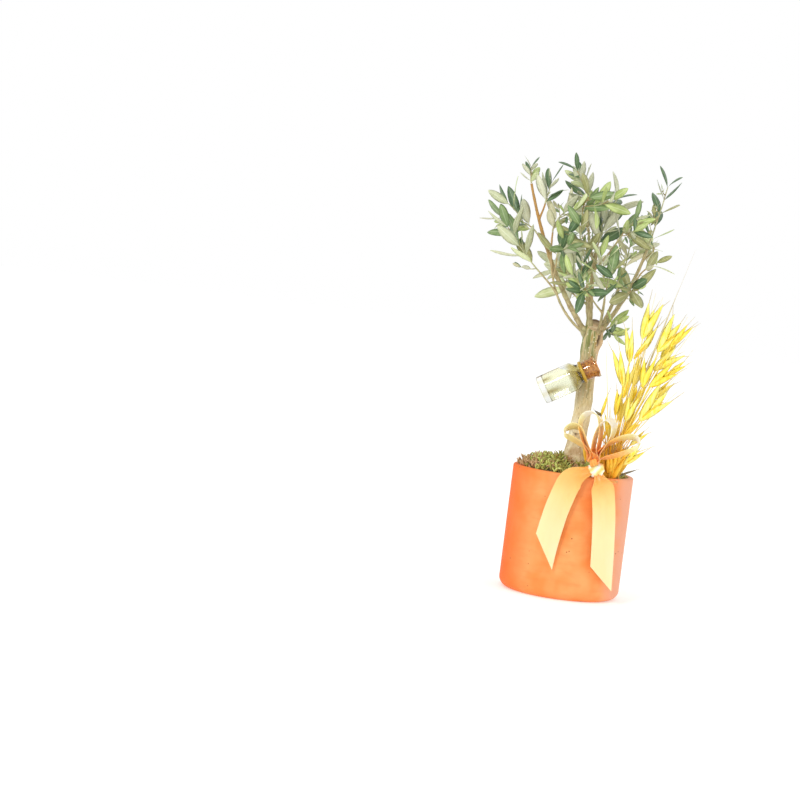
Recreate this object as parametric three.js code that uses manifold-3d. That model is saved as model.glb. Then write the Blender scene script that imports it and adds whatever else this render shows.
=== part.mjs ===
// Potted olive tree dressed as a gift: a young tree in a plain cylinder pot, a corked bottle of oil at its
// trunk, a satin bow on the rim and a bunch of dyed dried oats beside it.
// Millimetres, +Z up, front towards -Y. The origin is the centre of the pot's flat underside.

import * as THREE from 'three';
import { mergeVertices } from 'three/addons/utils/BufferGeometryUtils.js';
import Module from 'manifold-3d';

const wasm = await Module();
wasm.setup();
const { Manifold, Mesh } = wasm;

const CLEAR = 0.3; // gap kept between pieces that touch
const FINEST = 0.06; // detail smaller than this is dropped where pieces are joined
const UP = new THREE.Vector3(0, 0, 1);
const vec = (x, y, z) => new THREE.Vector3(x, y, z);

// Driving sizes
const pot = { radius: 56, height: 115, wall: 5, floor: 6, footRound: 9, rimRound: 2, sides: 40 };
const soilTop = 108;
const trunk = { foot: soilTop + CLEAR, top: 251, radius: 7.9, flare: 9, flareFade: 16, sides: 16, steps: 14 };
const fork = { height: 240, swell: 1, spread: 9 };
const stem = { thick: 1.5, thin: 0.9 };
const shoot = { thick: 1.1, thin: 0.8, pairs: 2, bare: 0.2, tested: 0.25 };
const leaf = { thickness: 0.8, sunk: 0.3, stagger: 1.2 };
const bottle = { axis: vec(0.853, 0, 0.522).normalize(), foot: vec(-38.9, -18.4, 185), sides: 18 };
const oilLevel = 207;
const ribbon = { width: 22, thickness: 0.8 };
const knot = { centre: vec(20, -54, 122.6), size: vec(7.5, 6, 7) };
const bunch = { foot: vec(32, -28, soilTop + CLEAR), top: vec(34, -34, 130), narrow: 10, wide: 15 };

const paint = (color, roughness, extra = {}) => (
  new THREE.MeshStandardMaterial({ color, roughness, ...extra })
);
const materials = {
  clay: paint('#f3a467', 0.85),
  soil: paint('#5a4030', 1),
  moss: paint('#8fa03c', 1),
  bark: paint('#b39c76', 0.9),
  foliage: paint('#7f9a58', 0.7),
  glass: paint('#eef4ee', 0.05, { transparent: true, opacity: 0.35 }),
  oil: paint('#f1efb4', 0.1),
  cork: paint('#c87a34', 0.8),
  collar: paint('#d9b548', 0.3),
  satin: paint('#ffc060', 0.4),
  oats: paint('#f2d12e', 0.7),
};

// Solids

function toSolid(geometry) {
  geometry.deleteAttribute('normal');
  geometry.deleteAttribute('uv');
  const merged = mergeVertices(geometry, 1e-4);
  return new Manifold(new Mesh({
    numProp: 3,
    vertProperties: new Float32Array(merged.attributes.position.array),
    triVerts: new Uint32Array(merged.index.array),
  }));
}

function toMesh(name, solid, material) {
  const { vertProperties, triVerts } = solid.getMesh();
  const geometry = new THREE.BufferGeometry();
  geometry.setAttribute('position', new THREE.BufferAttribute(new Float32Array(vertProperties), 3));
  geometry.setIndex(new THREE.BufferAttribute(new Uint32Array(triVerts), 1));
  geometry.computeVertexNormals();
  const mesh = new THREE.Mesh(geometry, material);
  mesh.name = name;
  return mesh;
}

// A cut can leave crumbs beside a piece and a join can seal a hollow in it: this drops the crumbs and fills
// the hollow
function largestPiece(solid) {
  const pieces = solid.decompose();
  return pieces.reduce((best, piece) => (piece.volume() > best.volume() ? piece : best));
}

// Bends a unit shape that stands along y from -0.5 to 0.5: place(t) gives the frame at each height
function bend(geometry, place) {
  const spots = geometry.attributes.position;
  for (let i = 0; i < spots.count; i += 1) {
    const { origin, across, out } = place(spots.getY(i) + 0.5);
    const moved = origin.clone().addScaledVector(across, spots.getX(i)).addScaledVector(out, spots.getZ(i));
    spots.setXYZ(i, moved.x, moved.y, moved.z);
  }
  return geometry;
}

// A closed tube along a path, its radius given at each point by radiusAt(t, point)
function tube(path, radiusAt, sides, steps) {
  const frames = path.computeFrenetFrames(steps, false);
  return bend(new THREE.CylinderGeometry(1, 1, 1, sides, steps), (t) => {
    const i = Math.round(t * steps);
    const origin = path.getPointAt(i / steps);
    const radius = radiusAt(t, origin);
    return {
      origin,
      across: frames.normals[i].clone().multiplyScalar(radius),
      out: frames.binormals[i].clone().multiplyScalar(-radius),
    };
  });
}

const taperedTube = (path, thick, thin, sides, steps) => (
  toSolid(tube(path, (t) => THREE.MathUtils.lerp(thick, thin, t) / 2, sides, steps))
);

// A flat strip along a path. facing(t) is the side it shows, widthAt(t) how wide it lies
function strip(path, facing, widthAt, steps) {
  return toSolid(bend(new THREE.BoxGeometry(1, 1, 1, 1, steps, 1), (t) => {
    const along = path.getTangent(t);
    const across = along.clone().cross(facing(t)).normalize();
    return {
      origin: path.getPoint(t),
      out: across.clone().cross(along).multiplyScalar(ribbon.thickness),
      across: across.multiplyScalar(widthAt(t)),
    };
  }));
}

const lathe = (points, sides) => (
  toSolid(new THREE.LatheGeometry(points.map(([radius, height]) => new THREE.Vector2(radius, height)), sides))
);

// Quarter-round corner points about a centre, from one angle to another in degrees
function corner(centreRadius, centreHeight, round, from, to, count) {
  return Array.from({ length: count + 1 }, (_, i) => {
    const angle = THREE.MathUtils.degToRad(from + (to - from) * i / count);
    return [centreRadius + round * Math.cos(angle), centreHeight + round * Math.sin(angle)];
  });
}

// Stands a turned shape up: its y becomes +Z
const standUp = (solid) => solid.rotate([90, 0, 0]);

// Paths: a quadratic curve from a to b whose middle control point is the halfway point moved by bow

function arc(a, b, bow) {
  const middle = a.clone().lerp(b, 0.5).add(bow);
  return new THREE.QuadraticBezierCurve3(a, middle, b);
}

// A stem sets out along its limb's heading and bends over to its tip
function growOn(root, along, tip) {
  const control = root.clone().addScaledVector(along, 0.4 * root.distanceTo(tip));
  return new THREE.QuadraticBezierCurve3(root, control, tip);
}

function heading(path, t) {
  const early = path.v1.clone().sub(path.v0).multiplyScalar(1 - t);
  const late = path.v2.clone().sub(path.v1).multiplyScalar(t);
  return early.add(late).normalize();
}

const sideOf = (along) => along.clone().cross(Math.abs(along.z) < 0.95 ? UP : vec(1, 0, 0)).normalize();

const blend = (a, b, angle) => (
  a.clone().multiplyScalar(Math.cos(angle)).addScaledVector(b, Math.sin(angle))
);

// Pot, soil and moss

function buildPot() {
  const { radius, height, wall, floor, footRound, rimRound, sides } = pot;
  return standUp(lathe([
    [0, 0],
    ...corner(radius - footRound, footRound, footRound, -90, 0, 5),
    ...corner(radius - rimRound, height - rimRound, rimRound, 0, 90, 2),
    [radius - wall + 0.8, height],
    [radius - wall, height - 0.8],
    [radius - wall, floor],
    [0, floor],
  ], sides));
}

function buildSoil() {
  const radius = pot.radius - pot.wall - CLEAR;
  const low = pot.floor + CLEAR;
  return standUp(lathe([[0, low], [radius, low], [radius, soilTop], [0, soilTop]], 32));
}

// The moss lies as a low carpet, thicker on the left and piled up round the trunk
function mossTop(x, y) {
  const fromTrunk = Math.hypot(x, y);
  const leftward = THREE.MathUtils.smoothstep(-x, -5, 45);
  const pile = 16 * Math.exp(-Math.max(0, fromTrunk - 12) / 9);
  const tufts = 0.9 * Math.sin(x * 0.55) * Math.cos(y * 0.48) + 0.6 * Math.sin(x * 0.23 + y * 0.9);
  return soilTop + 4 + 7 * leftward + pile * (0.6 + 0.4 * leftward) + tufts;
}

function buildMoss(trunkRoom, bunchRoom) {
  const radius = pot.radius - pot.wall - 0.5;
  const floor = soilTop + CLEAR;
  const rings = 7;
  const rows = Array.from({ length: rings + 1 }, (_, i) => [radius * i / rings, floor + 1]);
  const shape = new THREE.LatheGeometry(
    [[0, floor], [radius, floor], ...rows.reverse()].map(([r, z]) => new THREE.Vector2(r, z)),
    22,
  );
  shape.rotateX(Math.PI / 2);
  const spots = shape.attributes.position;
  for (let i = 0; i < spots.count; i += 1) {
    if (spots.getZ(i) > floor + 0.5) spots.setZ(i, mossTop(spots.getX(i), spots.getY(i)));
  }
  return largestPiece(toSolid(shape).subtract(trunkRoom).subtract(bunchRoom));
}

// Trunk and limbs

const lineFoot = trunk.foot - 4;
const lineTop = trunk.top + 7;
const trunkLine = new THREE.CatmullRomCurve3([
  vec(0, 0, lineFoot), vec(-0.8, 0, 140), vec(1, 0, 170),
  vec(0.6, 0, 200), vec(1, 0, 232), vec(3.4, 0, lineTop),
]);

function trunkRadius(z) {
  const flare = trunk.flare * Math.exp(-(z - trunk.foot) / trunk.flareFade);
  const swelling = fork.swell * Math.exp(-(((z - fork.height) / fork.spread) ** 2));
  return trunk.radius + flare + swelling;
}

function buildTrunk(extra) {
  const radiusAt = (t, point) => trunkRadius(point.z) + extra;
  const whole = toSolid(tube(trunkLine, radiusAt, trunk.sides, trunk.steps));
  const cutFacing = vec(0.1, -0.5, 0.86).normalize();
  const cutHeight = cutFacing.dot(vec(3, 0, trunk.top)) + extra;
  const headed = whole.trimByPlane(cutFacing.negate().toArray(), -cutHeight);
  return headed.trimByPlane([0, 0, 1], trunk.foot - extra);
}

// Each limb leaves the trunk at a root point, or the limb it is on at a share of that limb's length
const limbRows = [
  { name: 'bough_left', root: [-4, 0, 241], tip: [-72, -11, 373],
    bow: [-9, 1, -15], thick: 5.6, thin: 2.2 },
  { name: 'bough_outer', root: [-6, -4, 242], tip: [-47, -11, 331],
    bow: [-20, -3, -21], thick: 2.6, thin: 1.6 },
  { name: 'bough_centre', root: [-2, 1, 244], tip: [-5, 3, 317],
    bow: [-3, 0, 1], thick: 5.8, thin: 3.8 },
  { name: 'bough_right', root: [7, 4, 245], tip: [41, 4, 326],
    bow: [6, 0, -7], thick: 4.8, thin: 2.6 },
  { name: 'bough_back', root: [0, 5, 244], tip: [-10, 38, 300],
    bow: [-4, 8, -6], thick: 4.6, thin: 2.4 },
  { name: 'bough_back_right', root: [6, 6, 245], tip: [22, 42, 298],
    bow: [2, 8, -6], thick: 4.2, thin: 2.4 },
  { name: 'bough_front', root: [6, -5, 244], tip: [8, -26, 276],
    bow: [1, -6, -4], thick: 3.2, thin: 2 },
  { name: 'branch_top', on: 'bough_centre', share: 0.86, tip: [-16, 2, 350],
    bow: [-4, 1, -3], thick: 3, thin: 1.8 },
  { name: 'branch_centre', on: 'bough_centre', share: 0.78, tip: [14, -7, 332],
    bow: [1, -1, -3], thick: 2.4, thin: 1.6 },
  { name: 'twig_far_left', on: 'bough_outer', share: 0.5, tip: [-54, -16, 293],
    bow: [1, -1, 0], thick: 1.9, thin: 1.5 },
  { name: 'twig_left', on: 'bough_left', share: 0.63, tip: [-61, -3, 328],
    bow: [0, 1, -1], thick: 2.2, thin: 1.6 },
  { name: 'twig_upper_left', on: 'bough_left', share: 0.8, tip: [-57, -16, 356],
    bow: [1, -1, 0], thick: 2, thin: 1.5 },
  { name: 'twig_mid_left', on: 'bough_outer', share: 0.64, tip: [-40, -18, 308],
    bow: [1, -1, 0], thick: 1.8, thin: 1.4 },
  { name: 'twig_low_left', on: 'bough_left', share: 0.34, tip: [-27, 7, 288],
    bow: [0, 0, 0], thick: 2, thin: 1.5 },
  { name: 'twig_upper', on: 'branch_top', share: 0.72, tip: [-21, -8, 349],
    bow: [0, -1, -1], thick: 1.8, thin: 1.4 },
  { name: 'twig_right', on: 'bough_right', share: 0.88, tip: [46, 14, 324],
    bow: [0, 1, 0], thick: 1.9, thin: 1.5 },
  { name: 'twig_right_low', on: 'bough_right', share: 0.52, tip: [37, -4, 301],
    bow: [0, -1, -1], thick: 2, thin: 1.5 },
  { name: 'twig_right_lower', on: 'bough_right', share: 0.34, tip: [27, -9, 278],
    bow: [0, -1, -1], thick: 1.9, thin: 1.5 },
  { name: 'twig_front_left', on: 'bough_front', share: 0.66, tip: [-2, -33, 273],
    bow: [-1, -1, 0], thick: 1.8, thin: 1.4 },
  { name: 'twig_centre_low', on: 'bough_centre', share: 0.36, tip: [-13, -6, 277],
    bow: [0, -1, -1], thick: 2, thin: 1.5 },
  { name: 'twig_centre_mid', on: 'bough_centre', share: 0.72, tip: [-13, -8, 308],
    bow: [0, -1, -1], thick: 1.9, thin: 1.5 },
  { name: 'twig_back_low', on: 'bough_back', share: 0.5, tip: [-24, 30, 279],
    bow: [0, 1, -1], thick: 2, thin: 1.5 },
];

function planLimbs() {
  const limbs = new Map();
  for (const row of limbRows) {
    const parent = limbs.get(row.on);
    const root = parent ? parent.path.getPoint(row.share) : vec(...row.root);
    limbs.set(row.name, { ...row, path: arc(root, vec(...row.tip), vec(...row.bow)) });
  }
  return limbs;
}

// Limbs are built one after another, each cut clear of the trunk and of the limbs before it
function buildLimbs(limbs, trunkRoom) {
  let taken = trunkRoom;
  const solids = new Map();
  for (const { name, path, thick, thin } of limbs.values()) {
    const sides = thick > 2.3 ? 6 : 5;
    const steps = Math.max(3, Math.round(path.getLength() / 13));
    solids.set(name, largestPiece(taperedTube(path, thick, thin, sides, steps).subtract(taken)));
    taken = taken.add(taperedTube(path, thick + 2 * CLEAR, thin + 2 * CLEAR, sides, steps));
  }
  return solids;
}

// The growth rule

// A small random number generator, so that every build grows the same tree
class Dice {
  constructor(seed) {
    this.state = Math.imul(seed, 2654435761) >>> 0;
  }

  roll(low, high) {
    this.state = (Math.imul(this.state, 1664525) + 1013904223) >>> 0;
    return low + (high - low) * this.state / 4294967296;
  }
}

// A leaf leaves its stem between the stem's heading and an outward direction, and its tip curls down
function growLeaf(dice, root, along, outward, size, spread) {
  const lean = spread + dice.roll(-0.2, 0.2);
  const length = size * dice.roll(0.78, 1.16);
  const width = length * dice.roll(0.27, 0.34);
  const curl = dice.roll(-0.1, 0.38);
  const roll = dice.roll(-0.7, 0.7);
  const direction = blend(along, outward, lean);
  const upper = blend(outward.clone().negate(), along, lean).applyAxisAngle(direction, roll);
  return { root, direction, upper, side: direction.clone().cross(upper), length, width, curl };
}

// Leaves in crossed pairs along a stem, the last pair at its tip
function growPairs(dice, path, pairs, bare, size, spread) {
  const leaves = [];
  const first = dice.roll(0, Math.PI);
  for (let k = 0; k <= pairs; k += 1) {
    const last = k === pairs;
    const t = last ? 1 : bare + (1 - bare) * (k + 0.5) / (pairs + 0.3);
    const root = path.getPoint(t);
    const along = heading(path, t);
    const lower = root.clone().addScaledVector(along, -leaf.stagger);
    const outward = sideOf(along).applyAxisAngle(along, first + k * Math.PI / 2 + dice.roll(-0.35, 0.35));
    const shrunk = size * (1 - 0.3 * Math.max(0, k / pairs - 0.4));
    const lean = spread * (last ? 0.5 : 1 - 0.35 * k / pairs);
    leaves.push(growLeaf(dice, root, along, outward, shrunk, lean));
    leaves.push(growLeaf(dice, lower, along, outward.clone().negate(), shrunk, lean));
  }
  return leaves;
}

// A mass is its stem and a few side shoots, each with its leaves
function growMass({ path, pairs, bare, size, spread, shoots, seed }) {
  const dice = new Dice(seed);
  const twigs = [{ path, ...stem, leaves: growPairs(dice, path, pairs, bare, size, spread) }];
  for (let k = 0; k < shoots; k += 1) {
    const t = 0.15 + 0.6 * (k + dice.roll(0.2, 0.8)) / shoots;
    const root = path.getPoint(t);
    const along = heading(path, t);
    const outward = sideOf(along).applyAxisAngle(along, dice.roll(0, 2 * Math.PI));
    const direction = blend(along, outward, dice.roll(0.5, 0.95));
    const reach = size * dice.roll(0.55, 0.95);
    const bow = outward.clone().sub(along).multiplyScalar(0.1 * reach);
    const side = arc(root, root.clone().addScaledVector(direction, reach), bow);
    const leaves = growPairs(dice, side, shoot.pairs, shoot.bare, size * 0.9, spread);
    twigs.push({ path: side, thick: shoot.thick, thin: shoot.thin, leaves });
  }
  return twigs;
}

function midrib({ root, direction, upper, length, curl }, t) {
  return root.clone().addScaledVector(direction, length * t).addScaledVector(upper, -curl * length * t * t);
}

const halfWidth = ({ width }, t) => (t > 0 && t < 1 ? 0.5 * width * Math.sin(Math.PI * t ** 0.9) ** 0.8 : 0);

// Beads stand in for a leaf, twig or limb when the rule asks what is in the way

function leafBeads(blade) {
  const beads = [];
  for (const t of [0.08, 0.2, 0.32, 0.44, 0.56, 0.68, 0.78, 0.86, 0.93, 1]) {
    const centre = midrib(blade, t);
    const half = halfWidth(blade, t);
    if (half < 1) {
      beads.push({ centre, radius: 0.7 });
    } else {
      for (const share of [-0.55, 0, 0.55]) {
        beads.push({ centre: centre.clone().addScaledVector(blade.side, half * share), radius: half / 2 });
      }
    }
  }
  return beads;
}

function lineBeads(path, thick, thin, from = 0) {
  const count = Math.max(2, Math.floor(path.v0.distanceTo(path.v2) / 2));
  const beads = [];
  for (let i = 0; i <= count; i += 1) {
    const t = i / count;
    if (t >= from) beads.push({ centre: path.getPoint(t), radius: THREE.MathUtils.lerp(thick, thin, t) / 2 });
  }
  return beads;
}

function trunkBeads() {
  const beads = [];
  for (let z = trunk.foot; z < trunk.top; z += 3) {
    const share = (z - lineFoot) / (lineTop - lineFoot);
    beads.push({ centre: vec(trunkLine.getPointAt(share).x, 0, z), radius: trunkRadius(z) });
  }
  return beads;
}

const isClear = (beads, taken, gap) => beads.every(({ centre, radius }) => (
  taken.every((other) => centre.distanceTo(other.centre) - radius - other.radius > gap)
));

// A mass keeps its stem, and leaves out every shoot and leaf that would touch what is already there
function thinOut([main, ...shoots], taken) {
  const inTheWay = (beads, gap) => !isClear(beads, taken, gap);
  const kept = shoots.filter(({ path }) => (
    !inTheWay(lineBeads(path, shoot.thick, shoot.thin, shoot.tested), CLEAR + 0.1)
  ));
  return [main, ...kept].map((twig) => ({
    ...twig,
    leaves: twig.leaves.filter((blade) => !inTheWay(leafBeads(blade), CLEAR)),
  }));
}

// A leaf's solid: an eight-faced blade whose root lies sunk past the middle of its stem
function leafSolid(blade) {
  return toSolid(bend(new THREE.OctahedronGeometry(0.5), (t) => ({
    origin: t === 0 ? blade.root.clone().addScaledVector(blade.direction, -leaf.sunk) : midrib(blade, t),
    across: blade.side.clone().multiplyScalar(blade.width),
    out: blade.upper.clone().multiplyScalar(leaf.thickness),
  })));
}

function massSolid(twigs) {
  const parts = twigs.flatMap(({ path, thick, thin, leaves }) => [
    taperedTube(path, thick, thin, 3, 3),
    ...leaves.map(leafSolid),
  ]);
  return largestPiece(Manifold.union(parts));
}

// Each mass grows from the tip of the limb it is on. size is its leaf's length, spread how far leaves open
const open = 0.95;
const halfOpen = 0.85;
const upright = 0.75;
const massRows = [
  { name: 'foliage_far_left', on: 'twig_far_left', tip: [-88, -16, 330],
    pairs: 4, bare: 0.15, size: 36, spread: halfOpen, shoots: 0, seed: 810 },
  { name: 'foliage_left', on: 'twig_left', tip: [-92, 4, 340],
    pairs: 3, bare: 0.3, size: 33, spread: halfOpen, shoots: 1, seed: 273 },
  { name: 'foliage_top_left', on: 'bough_left', tip: [-74, -13, 388],
    pairs: 3, bare: 0, size: 18, spread: halfOpen, shoots: 0, seed: 596 },
  { name: 'foliage_upper_left', on: 'twig_upper_left', tip: [-54, -20, 374],
    pairs: 3, bare: 0, size: 24, spread: upright, shoots: 0, seed: 772 },
  { name: 'foliage_inner_left', on: 'bough_outer', tip: [-36, -2, 354],
    pairs: 3, bare: 0, size: 24, spread: halfOpen, shoots: 1, seed: 534 },
  { name: 'foliage_mid_left', on: 'twig_mid_left', tip: [-32, -34, 330],
    pairs: 3, bare: 0, size: 25, spread: open, shoots: 1, seed: 211 },
  { name: 'foliage_low_left', on: 'twig_low_left', tip: [-30, 26, 310],
    pairs: 3, bare: 0, size: 26, spread: open, shoots: 1, seed: 211 },
  { name: 'foliage_top', on: 'branch_top', tip: [-32, -2, 390],
    pairs: 4, bare: 0.2, size: 26, spread: halfOpen, shoots: 1, seed: 338 },
  { name: 'foliage_upper', on: 'twig_upper', tip: [-18, -26, 366],
    pairs: 3, bare: 0, size: 32, spread: halfOpen, shoots: 1, seed: 96 },
  { name: 'foliage_crown', on: 'bough_centre', tip: [8, 18, 370],
    pairs: 5, bare: 0.15, size: 32, spread: upright, shoots: 1, seed: 111 },
  { name: 'foliage_centre', on: 'branch_centre', tip: [26, -18, 350],
    pairs: 3, bare: 0, size: 27, spread: halfOpen, shoots: 1, seed: 440 },
  { name: 'foliage_right_top', on: 'bough_right', tip: [52, -10, 384],
    pairs: 4, bare: 0.1, size: 28, spread: halfOpen, shoots: 0, seed: 16 },
  { name: 'foliage_right', on: 'twig_right', tip: [42, 32, 334],
    pairs: 3, bare: 0, size: 21, spread: halfOpen, shoots: 1, seed: 20 },
  { name: 'foliage_right_low', on: 'twig_right_low', tip: [50, -14, 314],
    pairs: 2, bare: 0.3, size: 24, spread: halfOpen, shoots: 0, seed: 318 },
  { name: 'foliage_right_lower', on: 'twig_right_lower', tip: [30, -40, 288],
    pairs: 3, bare: 0, size: 32, spread: open, shoots: 1, seed: 297 },
  { name: 'foliage_stub', root: [9.5, -5, 246], along: [0.75, -0.45, 0.5], tip: [20, -16, 254],
    pairs: 3, bare: 0.1, size: 22, spread: open, shoots: 1, seed: 207 },
  { name: 'foliage_front', on: 'bough_front', tip: [12, -44, 302],
    pairs: 2, bare: 0, size: 32, spread: upright, shoots: 1, seed: 859 },
  { name: 'foliage_front_left', on: 'twig_front_left', tip: [-22, -56, 292],
    pairs: 3, bare: 0, size: 26, spread: halfOpen, shoots: 1, seed: 634 },
  { name: 'foliage_centre_low', on: 'twig_centre_low', tip: [-28, -24, 296],
    pairs: 3, bare: 0, size: 24, spread: open, shoots: 1, seed: 163 },
  { name: 'foliage_centre_mid', on: 'twig_centre_mid', tip: [-22, -46, 338],
    pairs: 3, bare: 0, size: 25, spread: halfOpen, shoots: 1, seed: 141 },
  { name: 'foliage_back_left', on: 'bough_back', tip: [-26, 56, 342],
    pairs: 4, bare: 0, size: 28, spread: open, shoots: 1, seed: 242 },
  { name: 'foliage_back_right', on: 'bough_back_right', tip: [26, 58, 334],
    pairs: 4, bare: 0, size: 26, spread: open, shoots: 1, seed: 962 },
  { name: 'foliage_back_low', on: 'twig_back_low', tip: [-26, 58, 292],
    pairs: 3, bare: 0, size: 28, spread: open, shoots: 1, seed: 523 },
];

function planMass(row, limbs) {
  const limb = limbs.get(row.on);
  const along = limb ? heading(limb.path, 1) : vec(...row.along).normalize();
  const root = limb ? limb.path.v2.clone().addScaledVector(along, CLEAR) : vec(...row.root);
  return { ...row, onTrunk: !limb, path: growOn(root, along, vec(...row.tip)) };
}

// Masses are grown one after another. The limbs, the oats and every mass's stem are there from the start, so
// a mass's own space ends at them and at the leaves of the masses before it
function buildMasses(limbs, trunkRoom, oatBeads) {
  const masses = massRows.map((row) => planMass(row, limbs));
  const stems = masses.map(({ path }) => lineBeads(path, stem.thick, stem.thin));
  const taken = [...trunkBeads(), ...oatBeads];
  for (const { path, thick, thin } of limbs.values()) taken.push(...lineBeads(path, thick, thin));
  return masses.map((mass, i) => {
    const otherStems = stems.filter((_, j) => j !== i).flat();
    const twigs = thinOut(growMass(mass), [...taken, ...otherStems]);
    for (const twig of twigs) {
      taken.push(...lineBeads(twig.path, twig.thick, twig.thin), ...twig.leaves.flatMap(leafBeads));
    }
    const whole = massSolid(twigs);
    const solid = mass.onTrunk ? largestPiece(whole.subtract(trunkRoom)) : whole;
    return toMesh(mass.name, solid, materials.foliage);
  });
}

// Bottle: its pieces are turned about y, foot at 0, then laid along the bottle's axis

const glass = {
  body: 13.3, wall: 1.6, footRound: 2, shoulder: 32, neckFoot: 40, neck: 8.8, lip: 10.3, length: 56.5,
};
const bore = { radius: 7, floor: 5.5 };
const collar = { foot: 40.4, height: 3, outer: 10.5 };
const cork = { foot: 45, top: 57 };

// The shoulder runs from the body's radius to the neck's as half a cosine wave
function shoulder(fromRadius, toRadius, fromHeight, toHeight, count) {
  return Array.from({ length: count + 1 }, (_, i) => {
    const share = i / count;
    const drop = (1 - Math.cos(Math.PI * share)) / 2;
    return [
      THREE.MathUtils.lerp(fromRadius, toRadius, drop),
      THREE.MathUtils.lerp(fromHeight, toHeight, share),
    ];
  });
}

function bottleInside(gap) {
  const body = glass.body - glass.wall - gap;
  return [
    [0, bore.floor + gap],
    [body - 2, bore.floor + gap],
    [body, bore.floor + 2],
    ...shoulder(body, bore.radius - gap, glass.shoulder, glass.neckFoot, 4),
  ];
}

function buildGlass() {
  return lathe([
    [0, 0],
    ...corner(glass.body - glass.footRound, glass.footRound, glass.footRound, -90, 0, 2),
    ...shoulder(glass.body, glass.neck, glass.shoulder, glass.neckFoot, 4),
    [glass.neck, glass.length - 3.5],
    [glass.lip, glass.length - 1.2],
    [glass.lip - 0.6, glass.length],
    [bore.radius + 0.5, glass.length],
    [bore.radius, glass.length - 1],
    ...bottleInside(0).reverse(),
  ], bottle.sides);
}

// The oil fills the bottle up to a level surface
function buildOil(turn) {
  const full = lathe([...bottleInside(CLEAR), [0, glass.neckFoot]], bottle.sides);
  const upInBottle = UP.clone().applyQuaternion(turn.clone().invert());
  const height = oilLevel - bottle.foot.z;
  return full.trimByPlane(upInBottle.negate().toArray(), -height);
}

function buildCollar() {
  const inner = glass.neck + CLEAR;
  const { foot, height, outer } = collar;
  return lathe([
    [inner, foot], [outer - 0.8, foot], [outer, foot + 0.8], [outer, foot + height - 0.8],
    [outer - 0.8, foot + height], [inner, foot + height], [inner, foot],
  ], bottle.sides);
}

function buildCork() {
  const radius = bore.radius - CLEAR;
  return lathe([
    [0, cork.foot], [radius - 0.8, cork.foot], [radius, cork.foot + 0.8],
    [radius, cork.top - 0.6], [radius - 0.6, cork.top], [0, cork.top],
  ], bottle.sides);
}

function buildBottle() {
  const turn = new THREE.Quaternion().setFromUnitVectors(vec(0, 1, 0), bottle.axis);
  const group = new THREE.Group();
  group.position.copy(bottle.foot);
  group.quaternion.copy(turn);
  group.add(
    toMesh('bottle_glass', buildGlass(), materials.glass),
    toMesh('bottle_oil', buildOil(turn), materials.oil),
    toMesh('bottle_collar', buildCollar(), materials.collar),
    toMesh('bottle_cork', buildCork(), materials.cork),
  );
  return group;
}

// Bow: each loop leans from the knot by an angle in the front plane, in degrees, positive to the right
const loopRows = [
  { lean: -41, reach: 44, breadth: 15, tilt: 12 },
  { lean: -12, reach: 49, breadth: 18, tilt: 10 },
  { lean: 11, reach: 42, breadth: 13, tilt: -10 },
  { lean: 56, reach: 42, breadth: 15, tilt: 14 },
];
const loop = { width: 19, pinched: 9, depth: -57, start: 4, steps: 11 };
const band = { height: 10, clearance: 1.6 };

// A teardrop loop: out from the knot, round and back to it
class Teardrop extends THREE.Curve {
  constructor(root, out, across, reach, breadth) {
    super();
    Object.assign(this, { root, out, across, reach, breadth });
  }

  getPoint(t) {
    const angle = 2 * Math.PI * t;
    const outward = this.reach * (1 - Math.cos(angle)) / 2;
    const sideways = this.breadth * 0.65 * Math.sin(angle) * Math.sin(angle / 2);
    return this.root.clone().addScaledVector(this.out, outward).addScaledVector(this.across, sideways);
  }
}

function buildLoop({ lean, reach, breadth, tilt }) {
  const angle = THREE.MathUtils.degToRad(lean);
  const out = vec(Math.sin(angle), 0, Math.cos(angle));
  const across = vec(Math.cos(angle), 0, -Math.sin(angle));
  const root = vec(knot.centre.x, loop.depth, knot.centre.z).addScaledVector(out, loop.start);
  const path = new Teardrop(root, out, across, reach - loop.start, breadth);
  const frontward = vec(0, -1, 0).addScaledVector(out, Math.tan(THREE.MathUtils.degToRad(tilt)));
  const widthAt = (t) => THREE.MathUtils.lerp(loop.pinched, loop.width, Math.sin(Math.PI * t) ** 0.7);
  const facing = (t) => path.getTangent(t).cross(frontward).negate();
  return strip(path, facing, widthAt, loop.steps);
}

// The band goes from the knot round the foot of the oats and back
function buildBand() {
  const height = knot.centre.z;
  const middle = bunch.foot.clone().lerp(bunch.top, (height - bunch.foot.z) / (bunch.top.z - bunch.foot.z));
  const start = vec(knot.centre.x, knot.centre.y, height);
  const toBunch = middle.clone().sub(start).setZ(0);
  const spare = bunch.wide / 2 + band.clearance;
  const along = (toBunch.length() + spare) / 2;
  const angle = Math.atan2(toBunch.y, toBunch.x);
  const centre = start.clone().addScaledVector(toBunch.clone().normalize(), along);
  const outline = (grow) => {
    const shape = new THREE.Shape();
    shape.absellipse(centre.x, centre.y, along + grow, spare + 1.5 + grow, 0, 2 * Math.PI, false, angle);
    return shape;
  };
  const ring = outline(ribbon.thickness / 2);
  ring.holes.push(outline(-ribbon.thickness / 2));
  const solid = toSolid(new THREE.ExtrudeGeometry(ring, {
    depth: band.height, bevelEnabled: false, curveSegments: 10,
  }));
  return solid.translate([0, 0, height - band.height / 2]);
}

function buildKnot(extra) {
  const ball = new THREE.SphereGeometry(1, 10, 6);
  const size = knot.size.clone().addScalar(extra);
  ball.scale(size.x, size.y, size.z);
  ball.translate(knot.centre.x, knot.centre.y, knot.centre.z);
  return toSolid(ball);
}

function buildBow() {
  const joined = Manifold.union([buildKnot(0), buildBand(), ...loopRows.map(buildLoop)]);
  return largestPiece(joined.simplify(FINEST));
}

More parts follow.
